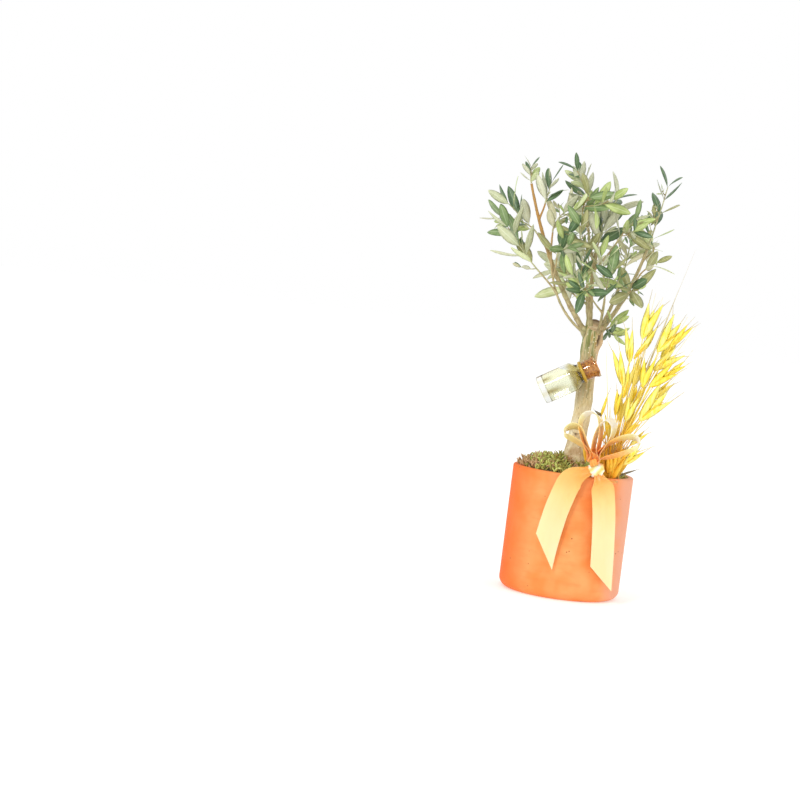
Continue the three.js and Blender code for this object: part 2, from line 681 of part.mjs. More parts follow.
// Tails: the points each runs through, the side it faces, and the two corners of its slanted cut
const tailRows = [
  {
    name: 'bow_tail_left',
    points: [vec(15, -57, 121.5), vec(0, -62.5, 112), vec(-8, -63, 92), vec(-15, -61, 58), vec(-19, -59, 26)],
    facing: vec(-0.12, -1, 0),
    cut: [vec(-25, 0, 57), vec(-8.7, 0, 29.5)],
  },
  {
    name: 'bow_tail_right',
    points: [vec(23, -57, 118.5), vec(28, -60, 108), vec(32, -57, 88), vec(35, -53, 55), vec(38.5, -50, 8)],
    facing: vec(0.4, -1, 0),
    cut: [vec(26.6, 0, 34.5), vec(48.7, 0, 13)],
  },
];
const tail = { pinched: 9, spreadBy: 0.3, steps: 18 };

function buildTail({ points, facing, cut }, knotRoom) {
  const path = new THREE.CatmullRomCurve3(points);
  const widthAt = (t) => (
    THREE.MathUtils.lerp(tail.pinched, ribbon.width, THREE.MathUtils.smoothstep(t, 0, tail.spreadBy))
  );
  const along = cut[1].clone().sub(cut[0]).normalize();
  const keepSide = vec(-along.z, 0, along.x);
  const whole = strip(path, () => facing, widthAt, tail.steps);
  return largestPiece(whole.trimByPlane(keepSide.toArray(), keepSide.dot(cut[0])).subtract(knotRoom));
}

// Dried oats: every stalk leaves the bunch for the tip of its beard, with an ear on the way
const stalkRows = [
  { tip: [53, -36, 287], ear: 0.8 },
  { tip: [60, -30, 284], ear: 0.74 },
  { tip: [84, -36, 269], ear: 0.78 },
  { tip: [72, -26, 263], ear: 0.72 },
  { tip: [93, -40, 262], ear: 0.7 },
  { tip: [93, -32, 240], ear: 0.76 },
  { tip: [90, -40, 228], ear: 0.66 },
  { tip: [85, -38, 202], ear: 0.72 },
  { tip: [71, -40, 150], ear: 0.9 },
  { tip: [15, -36, 232], ear: 0.7 },
  { tip: [23, -34, 190], ear: 0.62 },
  { tip: [48, -22, 236], ear: 0.8 },
];
const GOLDEN_ANGLE = Math.PI * (3 - Math.sqrt(5));
const ear = { length: 34, beard: 8, width: 7, depth: 5 };
const husk = { count: 2, length: 27, width: 5.5, depth: 3.5, first: 0.25, gap: 0.25, opening: 0.3 };
const stalk = { thick: 1.3, beard: 0.5 };

function stalkPath({ tip }, index) {
  const end = vec(...tip);
  const angle = index * GOLDEN_ANGLE;
  const spot = vec(Math.cos(angle), Math.sin(angle), 0).multiplyScalar(0.3 * bunch.wide);
  const root = bunch.foot.clone().lerp(bunch.top, 0.95).add(spot);
  const rise = end.clone().sub(root).length();
  return arc(root, end, vec(-0.04 * (tip[0] - root.x), 0, 0.05 * rise));
}

// An eight-faced spindle lying from a root along a direction, its wide side to the front
function spindle(root, direction, length, width, depth) {
  const across = direction.clone().cross(vec(0, -1, 0)).normalize();
  const out = across.clone().cross(direction);
  return toSolid(bend(new THREE.OctahedronGeometry(0.5), (t) => ({
    origin: root.clone().addScaledVector(direction, length * t),
    across: across.clone().multiplyScalar(width),
    out: out.clone().multiplyScalar(depth),
  })));
}

function stalkParts(row, index) {
  const path = stalkPath(row, index);
  const parts = [taperedTube(path, stalk.thick, stalk.beard, 3, 4)];
  const along = heading(path, row.ear);
  const earTip = path.getPoint(row.ear);
  const earRoot = earTip.clone().addScaledVector(along, -ear.length);
  parts.push(spindle(earRoot, along, ear.length + ear.beard, ear.width, ear.depth));
  for (let k = 0; k < husk.count; k += 1) {
    const outward = sideOf(along).applyAxisAngle(along, Math.PI / 2 + 0.4 * index + k * Math.PI);
    const root = earRoot.clone().addScaledVector(along, ear.length * (husk.first + husk.gap * k));
    parts.push(spindle(root, blend(along, outward, husk.opening), husk.length, husk.width, husk.depth));
  }
  return parts;
}

function buildBunch(extra) {
  const below = bunch.foot.clone().lerp(bunch.top, -0.2);
  const radiusAt = (t) => THREE.MathUtils.lerp(bunch.narrow, bunch.wide, t) / 2 + extra;
  const whole = toSolid(tube(new THREE.LineCurve3(below, bunch.top), radiusAt, 10, 2));
  return whole.trimByPlane([0, 0, 1], bunch.foot.z - extra);
}

function buildOats() {
  const joined = Manifold.union([buildBunch(0), ...stalkRows.flatMap(stalkParts)]);
  return largestPiece(joined.simplify(FINEST));
}

const oatBeads = () => stalkRows.flatMap((row, i) => lineBeads(stalkPath(row, i), ear.width, ear.width));

// Assembly

function buildPlant() {
  const group = new THREE.Group();
  const trunkRoom = buildTrunk(CLEAR);
  const bunchRoom = buildBunch(CLEAR);
  const knotRoom = buildKnot(CLEAR);
  const limbs = planLimbs();
  group.add(
    toMesh('pot', buildPot(), materials.clay),
    toMesh('soil', buildSoil(), materials.soil),
    toMesh('moss', buildMoss(trunkRoom, bunchRoom), materials.moss),
    toMesh('trunk', buildTrunk(0), materials.bark),
  );
  for (const [name, solid] of buildLimbs(limbs, trunkRoom)) group.add(toMesh(name, solid, materials.bark));
  group.add(...buildMasses(limbs, trunkRoom, oatBeads()));
  group.add(buildBottle());
  group.add(toMesh('bow', buildBow(), materials.satin));
  for (const row of tailRows) group.add(toMesh(row.name, buildTail(row, knotRoom), materials.satin));
  group.add(toMesh('dried_oats', buildOats(), materials.oats));
  return group;
}

export default buildPlant();
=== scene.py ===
# Looks of a young potted olive tree dressed as a gift: painted clay pot, moss, bark, leaves, a corked bottle
# of oil, a satin bow and a bunch of dyed dried oats.
# Sizes and places here are millimetres in the part's own frame, +Z up and the front towards -Y. Meshes are
# scaled to Blender's metres when they are made.

from math import atan2, cos, exp, hypot, pi, radians, sin, sqrt, tan

import bmesh
import bpy
import numpy as np
from mathutils import Matrix, Quaternion, Vector
from mathutils.noise import noise


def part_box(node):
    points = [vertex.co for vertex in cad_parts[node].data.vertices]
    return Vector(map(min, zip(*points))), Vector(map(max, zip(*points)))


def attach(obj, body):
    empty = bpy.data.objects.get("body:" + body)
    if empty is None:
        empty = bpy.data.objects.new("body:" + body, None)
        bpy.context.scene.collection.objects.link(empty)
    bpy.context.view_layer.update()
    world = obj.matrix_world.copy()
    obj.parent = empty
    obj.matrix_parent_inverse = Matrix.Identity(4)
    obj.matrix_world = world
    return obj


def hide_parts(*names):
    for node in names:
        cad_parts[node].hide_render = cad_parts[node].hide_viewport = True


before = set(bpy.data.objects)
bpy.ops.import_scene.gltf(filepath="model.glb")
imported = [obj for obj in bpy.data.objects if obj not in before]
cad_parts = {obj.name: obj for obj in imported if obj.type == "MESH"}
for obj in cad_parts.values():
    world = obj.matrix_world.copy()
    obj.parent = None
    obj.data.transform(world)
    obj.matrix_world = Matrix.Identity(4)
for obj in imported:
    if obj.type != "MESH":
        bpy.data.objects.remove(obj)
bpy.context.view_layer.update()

MM = 0.001
UP = Vector((0, 0, 1))
GOLDEN_ANGLE = pi * (3 - sqrt(5))
# How many sides each round thing has
SIDES = {"pot": 200, "mound": 90, "strand": 4, "trunk": 84, "limb": 14, "twig": 7, "bottle": 96,
         "knot": 60, "awn": 4, "straw": 8}
# Where each draw of random numbers starts
SEEDS = {"moss": 4, "sprigs": 3, "spurs": 4001, "tints": 5, "curls": 31, "twigs": 13, "oats": 9}

# Driving sizes, the same as the solids'
CLEAR = 0.3
POT = {"radius": 56, "height": 115, "wall": 5, "foot_round": 9, "rim_round": 2}
SOIL_TOP = 108
TRUNK = {"foot": 108.3, "top": 251, "radius": 7.9, "flare": 9, "flare_fade": 16}
FORK = {"height": 240, "swell": 1, "spread": 9}
STEM = {"thick": 1.5, "thin": 0.9}
SHOOT = {"thick": 1.1, "thin": 0.8, "pairs": 2, "bare": 0.2, "tested": 0.25}
LEAF_STAGGER = 1.2
BOTTLE_FOOT = Vector((-38.9, -18.4, 185))
BOTTLE_AXIS = Vector((0.853, 0, 0.522)).normalized()
OIL_LEVEL = 207
RIBBON_WIDTH = 22
KNOT = {"centre": Vector((20, -54, 122.6)), "size": Vector((7.5, 6, 7))}
BUNCH = {"foot": Vector((32, -28, 108.3)), "top": Vector((34, -34, 130)), "narrow": 10, "wide": 15}


# Camera, light and floor

def new_object(name, data):
    """Puts a mesh, a camera or a lamp in the scene"""
    thing = bpy.data.objects.new(name, data)
    bpy.context.scene.collection.objects.link(thing)
    return thing


def build_camera():
    """A long lens 1.8 m away, looking a little down and turned about its own axis as the photo is"""
    turn, pitch, roll = (radians(angle) for angle in (-5.362, -3.459, 7.094))
    forward = Vector((sin(turn) * cos(pitch), cos(turn) * cos(pitch), sin(pitch)))
    level = forward.cross(UP).normalized()
    above = level.cross(forward)
    right = cos(roll) * level + sin(roll) * above
    up = cos(roll) * above - sin(roll) * level
    data = bpy.data.cameras.new("camera")
    data.lens = 86.95
    data.sensor_width = 36
    camera = new_object("camera", data)
    place = Matrix((right, up, -forward)).transposed().to_4x4()
    place.translation = Vector((0, -1.80, 0.268))
    camera.matrix_world = place
    bpy.context.scene.camera = camera


def build_light(name, place, size, power):
    """A soft square lamp facing the middle of the plant"""
    data = bpy.data.lights.new(name, "AREA")
    data.size = size
    data.energy = power
    lamp = new_object(name, data)
    lamp.location = place
    aim = Vector((0, 0, 0.2)) - lamp.location
    lamp.rotation_euler = aim.to_track_quat("-Z", "Y").to_euler()


def build_studio():
    """A white room with a soft lamp at the upper left and a wider, weaker one at the right. Glass and gloss
    see the near side of the room a little darker than the white behind the plant"""
    world = bpy.data.worlds.new("white_room")
    world.use_nodes = True
    tree = world.node_tree
    way = add_node(tree, "ShaderNodeTexCoord").outputs["Generated"]
    backward = add_node(tree, "ShaderNodeSeparateXYZ", {"Vector": way}).outputs["Y"]
    room = add_node(tree, "ShaderNodeMapRange", {0: backward, 1: -0.6, 2: 0.3, 3: 0.74, 4: 1.0})
    shown = add_node(tree, "ShaderNodeLightPath").outputs["Is Camera Ray"]
    brightness = add_node(tree, "ShaderNodeMath", {0: room, 1: shown}, operation="MAXIMUM")
    set_inputs(tree, tree.nodes["Background"], {"Color": "#FFFFFF", "Strength": brightness})
    bpy.context.scene.world = world
    bpy.context.scene.view_settings.view_transform = "Standard"
    build_light("key_lamp", (-0.7, -1.6, 1.1), 0.32, 12.5)
    build_light("right_lamp", (1.3, -0.9, 0.7), 1.0, 2.8)


def build_floor():
    """White board lit from below, so that the plant stands on plain white"""
    bpy.ops.mesh.primitive_circle_add(vertices=96, radius=14, fill_type="NGON")
    floor = bpy.context.object
    floor.name = "floor"
    board = Surface("lit_white_board", "#F4F3F1")
    glow = {"Emission Color": "#FFFFFF", "Emission Strength": 0.28}
    floor.data.materials.append(board.finish(0.9, **glow))


# Nodes and materials

def colour(text):
    """An sRGB hex colour as linear RGBA"""
    shares = [int(text[i:i + 2], 16) / 255 for i in (1, 3, 5)]
    return (*((s / 12.92 if s <= 0.04045 else ((s + 0.055) / 1.055) ** 2.4) for s in shares), 1)


def per_metre(size):
    """A pattern's scale on metre coordinates, for features of a size in millimetres"""
    return 1 / (size * MM)


def set_inputs(tree, node, inputs):
    """Gives each named or numbered input a value, a hex colour, or a link from a socket or a node"""
    for name, value in inputs.items():
        if isinstance(value, bpy.types.Node):
            value = next(socket for socket in value.outputs if socket.enabled)
        if isinstance(value, bpy.types.NodeSocket):
            tree.links.new(value, node.inputs[name])
        elif isinstance(value, str) and value.startswith("#"):
            node.inputs[name].default_value = colour(value)
        else:
            node.inputs[name].default_value = value


def add_node(tree, kind, inputs=None, **settings):
    """Adds a node with its settings and its inputs. Inputs that share a name are given by number: a map
    range has its value, its two ends and what they become as 0 to 4, a colour mix has its share and its
    colours as 0, 6 and 7, and maths has its terms from 0 up"""
    node = tree.nodes.new(kind)
    for name, value in settings.items():
        setattr(node, name, value)
    set_inputs(tree, node, inputs or {})
    return node


class Surface:
    """A material being made, from its base colour up"""

    def __init__(self, name, base):
        self.material = bpy.data.materials.new(name)
        self.material.use_nodes = True
        self.tree = self.material.node_tree
        self.where = add_node(self.tree, "ShaderNodeTexCoord").outputs["Object"]
        self.paint = base

    def pattern(self, texture, size, stretch=(1, 1, 1), where=None, **inputs):
        """A texture with features of a size in millimetres, stretched along each axis"""
        placed = add_node(self.tree, "ShaderNodeMapping", {
            "Vector": where or self.where, "Scale": [1 / s for s in stretch],
        })
        inputs.update({"Vector": placed, "Scale": per_metre(size)})
        return add_node(self.tree, "ShaderNodeTex" + texture, inputs)

    def layer(self, paint, value, low, high, strength=1.0):
        """Paint over what is under it, at its full strength where the value is high"""
        share = add_node(self.tree, "ShaderNodeMapRange", {0: value, 1: low, 2: high, 4: strength})
        inputs = {0: share, 6: self.paint, 7: paint}
        self.paint = add_node(self.tree, "ShaderNodeMix", inputs, data_type="RGBA")

    def finish(self, roughness, height=None, depth=0.2, **inputs):
        """Sets the colour, the roughness, and bump of a depth in millimetres"""
        if height:
            inputs["Normal"] = add_node(self.tree, "ShaderNodeBump", {
                "Height": height, "Distance": depth * MM, "Strength": 0.7,
            })
        shader = self.tree.nodes["Principled BSDF"]
        set_inputs(self.tree, shader, {"Base Color": self.paint, "Roughness": roughness, **inputs})
        return self.material


def painted_terracotta():
    """Fired clay under matte orange paint: soft blotches, faint brushed rings and a few pinholes. Painted
    shade deepens the orange on the left, and painted light makes the right side paler and pinker"""
    clay = Surface("painted_terracotta", "#F38E48")
    across = add_node(clay.tree, "ShaderNodeSeparateXYZ", {"Vector": clay.where}).outputs["X"]
    lit_right_side = add_node(clay.tree, "ShaderNodeMath", {
        0: clay.pattern("Noise", 22, Detail=4), 1: 0.02, 2: across,
    }, operation="MULTIPLY_ADD")
    holes = clay.pattern("Voronoi", 9)
    unbroken = add_node(clay.tree, "ShaderNodeMapRange", {0: holes, 1: 0.05, 2: 0.085})
    height = add_node(clay.tree, "ShaderNodeMath", {
        0: unbroken, 1: 1.5, 2: clay.pattern("Noise", 0.9, Detail=4),
    }, operation="MULTIPLY_ADD")
    clay.layer("#F7A565", clay.pattern("Noise", 26), 0.35, 0.65)
    # painted shade: the left side deeper, darker orange
    clay.layer("#E8650E", across, -0.026, -0.054, 0.9)
    clay.layer("#E4763A", clay.pattern("Noise", 5, (3, 3, 1)), 0.5, 0.8, 0.3)
    # painted light: the right side paler and pinker, with a ragged edge
    clay.layer("#ECA684", lit_right_side, 0.046, 0.060)
    clay.layer("#A4562C", holes, 0.085, 0.05)
    return clay.finish(0.6, height, 0.25, **{"Specular IOR Level": 0.2})


def potting_compost():
    """Bark compost: dark crumbs of a few millimetres"""
    compost = Surface("potting_compost", "#3A2A1D")
    crumbs = compost.pattern("Voronoi", 3)
    compost.layer("#6B4E36", crumbs, 0.0, 0.7)
    return compost.finish(0.95, crumbs, 1.0)


def olive_bark():
    """Olive bark: tan and mottled with pale and dark specks. Near the fork it runs green and golden and is
    bare and pinkish beside the split, and it is browner near the ground. The mark is high in clefts, and
    below zero on the grey disc of the old scar"""
    bark = Surface("olive_bark", "#C4AC78")
    axes = add_node(bark.tree, "ShaderNodeSeparateXYZ", {"Vector": bark.where}).outputs
    unrolled = add_node(bark.tree, "ShaderNodeUVMap", uv_map="UVMap")
    mark = add_node(bark.tree, "ShaderNodeAttribute", attribute_name="mark").outputs["Fac"]
    streaks = bark.pattern("Noise", 2.2, (1, 3, 1), unrolled, Detail=5)
    patches = bark.pattern("Noise", 10, Detail=4)
    runs = bark.pattern("Noise", 4.5, (1, 1, 9))
    high = add_node(bark.tree, "ShaderNodeMapRange", {0: axes["Z"], 1: 0.165, 2: 0.235, 4: 0.95})
    low = add_node(bark.tree, "ShaderNodeMapRange", {0: axes["Z"], 1: 0.165, 2: 0.115, 4: 0.8})
    rightward = add_node(bark.tree, "ShaderNodeMapRange", {0: axes["X"], 1: 0.0045, 2: 0.008})
    bare = add_node(bark.tree, "ShaderNodeMath", {0: rightward, 1: high}, operation="MULTIPLY")
    bark.layer("#EEDFB4", streaks, 0.3, 0.7)
    bark.layer("#EFE6CA", patches, 0.42, 0.68, 0.5)
    bark.layer("#727A3C", runs, 0.46, 0.58, high)
    bark.layer("#9A7E36", runs, 0.52, 0.4, high)
    bark.layer("#A87E5A", patches, 0.6, 0.4, low)
    bark.layer("#DBBE9B", bare, 0.2, 0.7, 0.9)
    for size, speck, reach in ((3.2, "#F2ECD8", 0.22), (4.2, "#7A684A", 0.15)):
        bark.layer(speck, bark.pattern("Voronoi", size), reach, reach * 0.6, 0.75)
    bark.layer("#8B8D75", mark, -0.1, -0.8)
    bark.layer("#4A3826", mark, 0.15, 1.0)
    return bark.finish(0.8, streaks, 0.3)


def young_bark():
    """Young olive wood: smooth and tan on the boughs, golden orange towards the upper left"""
    bark = Surface("young_bark", "#9C8C60")
    axes = add_node(bark.tree, "ShaderNodeSeparateXYZ", {"Vector": bark.where}).outputs
    high = add_node(bark.tree, "ShaderNodeMapRange", {0: axes["Z"], 1: 0.285, 2: 0.335, 4: 0.8})
    unrolled = add_node(bark.tree, "ShaderNodeUVMap", uv_map="UVMap")
    mark = add_node(bark.tree, "ShaderNodeAttribute", attribute_name="mark").outputs["Fac"]
    streaks = bark.pattern("Noise", 1.2, (1, 4, 1), unrolled, Detail=4)
    bark.layer("#CCBE92", streaks, 0.3, 0.7)
    bark.layer("#9FA070", bark.pattern("Noise", 9), 0.45, 0.65, 0.7)
    bark.layer("#BE8638", axes["X"], -0.03, -0.05, high)
    bark.layer("#7A6240", mark, 0.0, 1.0)
    return bark.finish(0.65, streaks)


def green_shoot():
    """This year's shoots: pale grey-green, slightly downy, browner in places"""
    skin = Surface("green_shoot", "#A8A67C")
    skin.layer("#C9C89E", skin.pattern("Noise", 3), 0.3, 0.7)
    skin.layer("#A98A58", skin.pattern("Noise", 14), 0.5, 0.62, 0.8)
    return skin.finish(0.7)


def sawn_wood():
    """The pruned head of the trunk: pinkish tan wood with rings, and painted shadow along its far rim"""
    wood = Surface("sawn_wood", "#CFAF8A")
    place = -CUT_PLACE * MM
    centred = add_node(wood.tree, "ShaderNodeMapping", {"Vector": wood.where, "Location": place})
    backward = add_node(wood.tree, "ShaderNodeSeparateXYZ", {"Vector": wood.where}).outputs["Y"]
    rings = wood.pattern("Wave", 24, where=centred, Distortion=2.5, Detail=2)
    rings.wave_type = "RINGS"
    wood.layer("#E4CFAC", rings, 0.0, 1.0)
    wood.layer("#A88A64", wood.pattern("Noise", 5), 0.52, 0.7, 0.6)
    # painted shadow along the far rim of the cut
    wood.layer("#66503C", backward, 0.001, 0.006, 0.9)
    return wood.finish(0.8, rings)


def leaf_surface(name, base, blotch, rib, roughness):
    """One side of an olive leaf: leathery and waxy above, felted below, with a paler midrib"""
    leaf = Surface(name, base)
    leaf.layer(blotch, leaf.pattern("Noise", 5), 0.3, 0.7)
    mark = add_node(leaf.tree, "ShaderNodeAttribute", attribute_name="mark").outputs["Fac"]
    leaf.layer(rib, mark, 0.7, 0.95, 0.7)
    return leaf.finish(roughness)


def moss_strand(name, base, tip):
    """Dried sheet moss: thin dull strands"""
    moss = Surface(name, base)
    moss.layer(tip, moss.pattern("Noise", 2.5), 0.3, 0.7)
    return moss.finish(0.9)


def clear_liquid(name, base, ior, shade):
    """Soda glass and pale filtered oil: clear and smooth, with painted shade where the mark is high and
    painted dark edges where one looks along the surface"""
    clear = Surface(name, base)
    grazing = add_node(clear.tree, "ShaderNodeLayerWeight", {"Blend": 0.5}).outputs["Facing"]
    mark = add_node(clear.tree, "ShaderNodeAttribute", attribute_name="mark").outputs["Fac"]
    # painted dark edges where one looks along the surface
    clear.layer("#8A8458", grazing, 0.6, 0.95)
    # painted shade where the mark is high
    clear.layer(shade, mark, 0.0, 1.0)
    return clear.finish(0.02, **{"Transmission Weight": 1.0, "IOR": ior})


def amber_cork():
    """Agglomerated cork pressed against the glass: orange-brown granules"""
    cork = Surface("amber_cork", "#C05A18")
    grains = cork.pattern("Voronoi", 2.2)
    cork.layer("#FFB566", grains, 0.1, 0.65)
    return cork.finish(0.4, grains, 0.3, **{"Coat Weight": 0.6, "Coat Roughness": 0.1})


def golden_lacquer():
    """A ring of golden lacquer round the neck, half clear"""
    return Surface("golden_lacquer", "#E0B740").finish(0.15, **{"Transmission Weight": 0.35})


def satin_ribbon():
    """Thin polyester satin going from orange to yellow and cream as its mark rises, which is partly its dye
    and partly painted light: painted sheen where it pales to cream, and painted reflection of the orange pot
    near the knot. Fine threads run along it, and the gloss stretches across them. Threads are drawn 0.6 mm
    apart, coarser than real, so that they show"""
    satin = Surface("satin_ribbon", "#FF9A4C")
    unrolled = add_node(satin.tree, "ShaderNodeUVMap", uv_map="UVMap")
    mark = add_node(satin.tree, "ShaderNodeAttribute", attribute_name="mark").outputs["Fac"]
    clouds = satin.pattern("Noise", 14, (1, 3, 1), unrolled)
    fade = add_node(satin.tree, "ShaderNodeMath", {0: clouds, 1: 0.3, 2: mark}, operation="MULTIPLY_ADD")
    # partly dye and partly painted light: painted sheen as the ribbon pales, painted reflection of the pot
    # in the orange
    for low, high, dye_and_sheen in (
        (0.1, 0.3, "#FDA84C"), (0.3, 0.55, "#FBBE68"), (0.55, 0.8, "#F9D886"), (0.8, 1.15, "#F9F0A8"),
        (1.2, 1.5, "#FFF8E4"),
    ):
        satin.layer(dye_and_sheen, fade, low, high)
    threads = satin.pattern("Wave", 12, where=unrolled, Distortion=0.4)
    return satin.finish(0.36, threads, 0.05, **{
        "Anisotropic": 0.5, "Sheen Weight": 0.2, "Sheen Roughness": 0.4, "Subsurface Weight": 0.6,
        "Subsurface Radius": (1, 0.9, 0.75), "Subsurface Scale": 0.003,
    })


def dyed_straw(name, base, tip, golden=0.0):
    """Dried oat straw and husk, dyed yellow and more golden near the foot: papery and ridged lengthwise"""
    straw = Surface(name, base)
    streaks = straw.pattern("Noise", 2.2, (1, 1, 4))
    straw.layer(tip, streaks, 0.35, 0.65)
    height = add_node(straw.tree, "ShaderNodeSeparateXYZ", {"Vector": straw.where}).outputs["Z"]
    straw.layer("#FFC030", height, 0.175, 0.135, golden)
    return straw.finish(0.55, streaks, 0.15)


# Meshes

def angles_round(sides):
    """The angle of each corner round something with so many sides"""
    return [2 * pi * j / sides for j in range(sides)]


def shares(count):
    """From 0 to 1 in so many steps"""
    return [i / count for i in range(count + 1)]


class Shell:
    """The points, faces, UVs and marks of a mesh being made. A mark is a value from 0 to 1 that its
    material reads, and a part is a number that says which finish a face takes"""

    def __init__(self):
        self.points = []
        self.marks = []
        self.faces = []
        self.uvs = []
        self.parts = []

    def add_face(self, corners, uvs, part):
        self.faces.append(corners)
        self.uvs.extend(uvs)
        self.parts.append(part)

    def add_rings(self, rings, girth=1.0, length=1.0, marks=None, parts=0, ends=(True, True)):
        """A skin over closed rings of points, with UVs as wide as girth and as long as length, in mm. marks
        has a value for each ring, or a list of them. parts is a number, or one for each column. An open end
        is given by False"""
        first = len(self.points)
        across = len(rings[0])
        for i, ring in enumerate(rings):
            self.points.extend(ring)
            mark = marks[i] if marks else 0.0
            self.marks.extend(mark if isinstance(mark, list) else [mark] * across)
        columns = parts if isinstance(parts, list) else [parts] * across
        for i in range(len(rings) - 1):
            low, high = (length * MM * k / (len(rings) - 1) for k in (i, i + 1))
            for j in range(across):
                left, right = (girth * MM * k / across for k in (j, j + 1))
                a = first + i * across + j
                b = first + i * across + (j + 1) % across
                uvs = [(left, low), (right, low), (right, high), (left, high)]
                self.add_face((a, b, b + across, a + across), uvs, columns[j])
        for closed, row, order in ((ends[0], 0, -1), (ends[1], len(rings) - 1, 1)):
            if closed:
                self.add_fan(first + row * across, across, order, columns)

    def add_fan(self, start, count, order, columns):
        ring = self.points[start:start + count]
        self.points.append(sum(ring, Vector()) / count)
        self.marks.append(sum(self.marks[start:start + count]) / count)
        middle = len(self.points) - 1
        for j in range(count):
            pair = (start + j, start + (j + 1) % count)[::order]
            self.add_face((middle, *pair), [(0, 0)] * 3, columns[j])

    def to_mesh(self, name):
        mesh = bpy.data.meshes.new(name)
        mesh.from_pydata([point * MM for point in self.points], [], self.faces)
        layer = mesh.uv_layers.new(name="UVMap")
        layer.data.foreach_set("uv", [value for pair in self.uvs for value in pair])
        marks = mesh.attributes.new("mark", "FLOAT", "POINT")
        marks.data.foreach_set("value", self.marks)
        parts = mesh.attributes.new("part", "INT", "FACE")
        parts.data.foreach_set("value", self.parts)
        mesh.shade_smooth()
        return mesh

    def to_piece(self, name, materials, sharp=50):
        """A piece whose face parts choose among its materials, with edges sharper than an angle kept"""
        mesh = self.to_mesh(name)
        for material in materials:
            mesh.materials.append(material)
        mesh.polygons.foreach_set("material_index", self.parts)
        mesh.set_sharp_from_angle(angle=radians(sharp))
        return new_object(name, mesh)


def settle(piece, nodes):
    """Fixes a piece to the plant in place of the solids that it shows"""
    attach(piece, "root")
    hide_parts(*nodes)


def lathe_rings(profile, sides, shape=None):
    """Rings round +Z through points (radius, height), which shape(angle, radius, height) may change"""
    rings = []
    for radius, height in profile:
        ring = []
        for angle in angles_round(sides):
            r, z = shape(angle, radius, height) if shape else (radius, height)
            ring.append(Vector((r * cos(angle), r * sin(angle), z)))
        rings.append(ring)
    return rings


def corner(centre_radius, centre_height, round_, start, end, count):
    """Profile points round a corner, from one angle to another in degrees"""
    angles = [radians(start + (end - start) * i / count) for i in range(count + 1)]
    return [(centre_radius + round_ * cos(a), centre_height + round_ * sin(a)) for a in angles]


def line_between(start, end, count):
    """Points from start to end, both left out"""
    return [tuple(a + (b - a) * i / count for a, b in zip(start, end)) for i in range(1, count)]


def chord(points, i):
    """From the point before to the point after"""
    return points[min(i + 1, len(points) - 1)] - points[max(i - 1, 0)]


def tube_rings(points, radius_at, sides):
    """Rings round a path, twisted as little as possible. radius_at(i, angle) is how far out the skin is"""
    rings = []
    across = chord(points, 0).normalized().orthogonal().normalized()
    for i, point in enumerate(points):
        along = chord(points, i).normalized()
        across = (across - across.dot(along) * along).normalized()
        out = along.cross(across)
        rings.append([
            point + radius_at(i, angle) * blend(across, out, angle) for angle in angles_round(sides)
        ])
    return rings


def smooth_step(value, low, high):
    """From 0 where the value is low up to 1 where it is high, with no kink"""
    share = min(1.0, max(0.0, (value - low) / (high - low)))
    return share * share * (3 - 2 * share)


def ridge(x, y, z):
    """Noise folded into narrow valleys: 1 in a valley, falling to 0 beside it"""
    return max(0.0, 1 - 5 * abs(noise(Vector((x, y, z)))))


# Paths

class Arc:
    """A quadratic curve"""

    def __init__(self, start, middle, end):
        self.start, self.middle, self.end = start, middle, end

    def at(self, t):
        return (1 - t) ** 2 * self.start + 2 * t * (1 - t) * self.middle + t * t * self.end

    def heading(self, t):
        return ((1 - t) * (self.middle - self.start) + t * (self.end - self.middle)).normalized()

    def span(self):
        return (self.end - self.start).length

    def points(self, count):
        return [self.at(t) for t in shares(count)]


def bowed(start, end, bow):
    return Arc(start, (start + end) / 2 + bow, end)


def spline(points, t):
    """A centripetal spline through the points"""
    last = len(points) - 1
    i = min(int(t * last), last - 1)
    share = t * last - i
    b, c = points[i], points[i + 1]
    a = points[i - 1] if i else 2 * b - c
    d = points[i + 2] if i + 2 <= last else 2 * c - b
    before, here, after = ((q - p).length ** 0.5 for p, q in ((a, b), (b, c), (c, d)))
    leave = here * ((b - a) / before - (c - a) / (before + here) + (c - b) / here)
    reach = here * ((c - b) / here - (d - b) / (here + after) + (d - c) / after)
    third = -3 * b + 3 * c - 2 * leave - reach
    fourth = 2 * b - 2 * c + leave + reach
    return b + leave * share + third * share ** 2 + fourth * share ** 3


def around(angle):
    """A level direction, at an angle from +X"""
    return Vector((cos(angle), sin(angle), 0))


def side_of(along):
    """A direction at right angles to another"""
    return along.cross(UP if abs(along.z) < 0.95 else Vector((1, 0, 0))).normalized()


def blend(a, b, angle):
    """The direction at an angle from a towards b, which is at right angles to it"""
    return a * cos(angle) + b * sin(angle)


def turned(direction, axis, angle):
    return Quaternion(axis, angle) @ direction


# Pot and moss

# The heights of the pot's floor inside and of the lowest ring above it, and the radius of the flat foot
POT_INSIDE = {"floor": 6, "low": 80, "middle": 20}


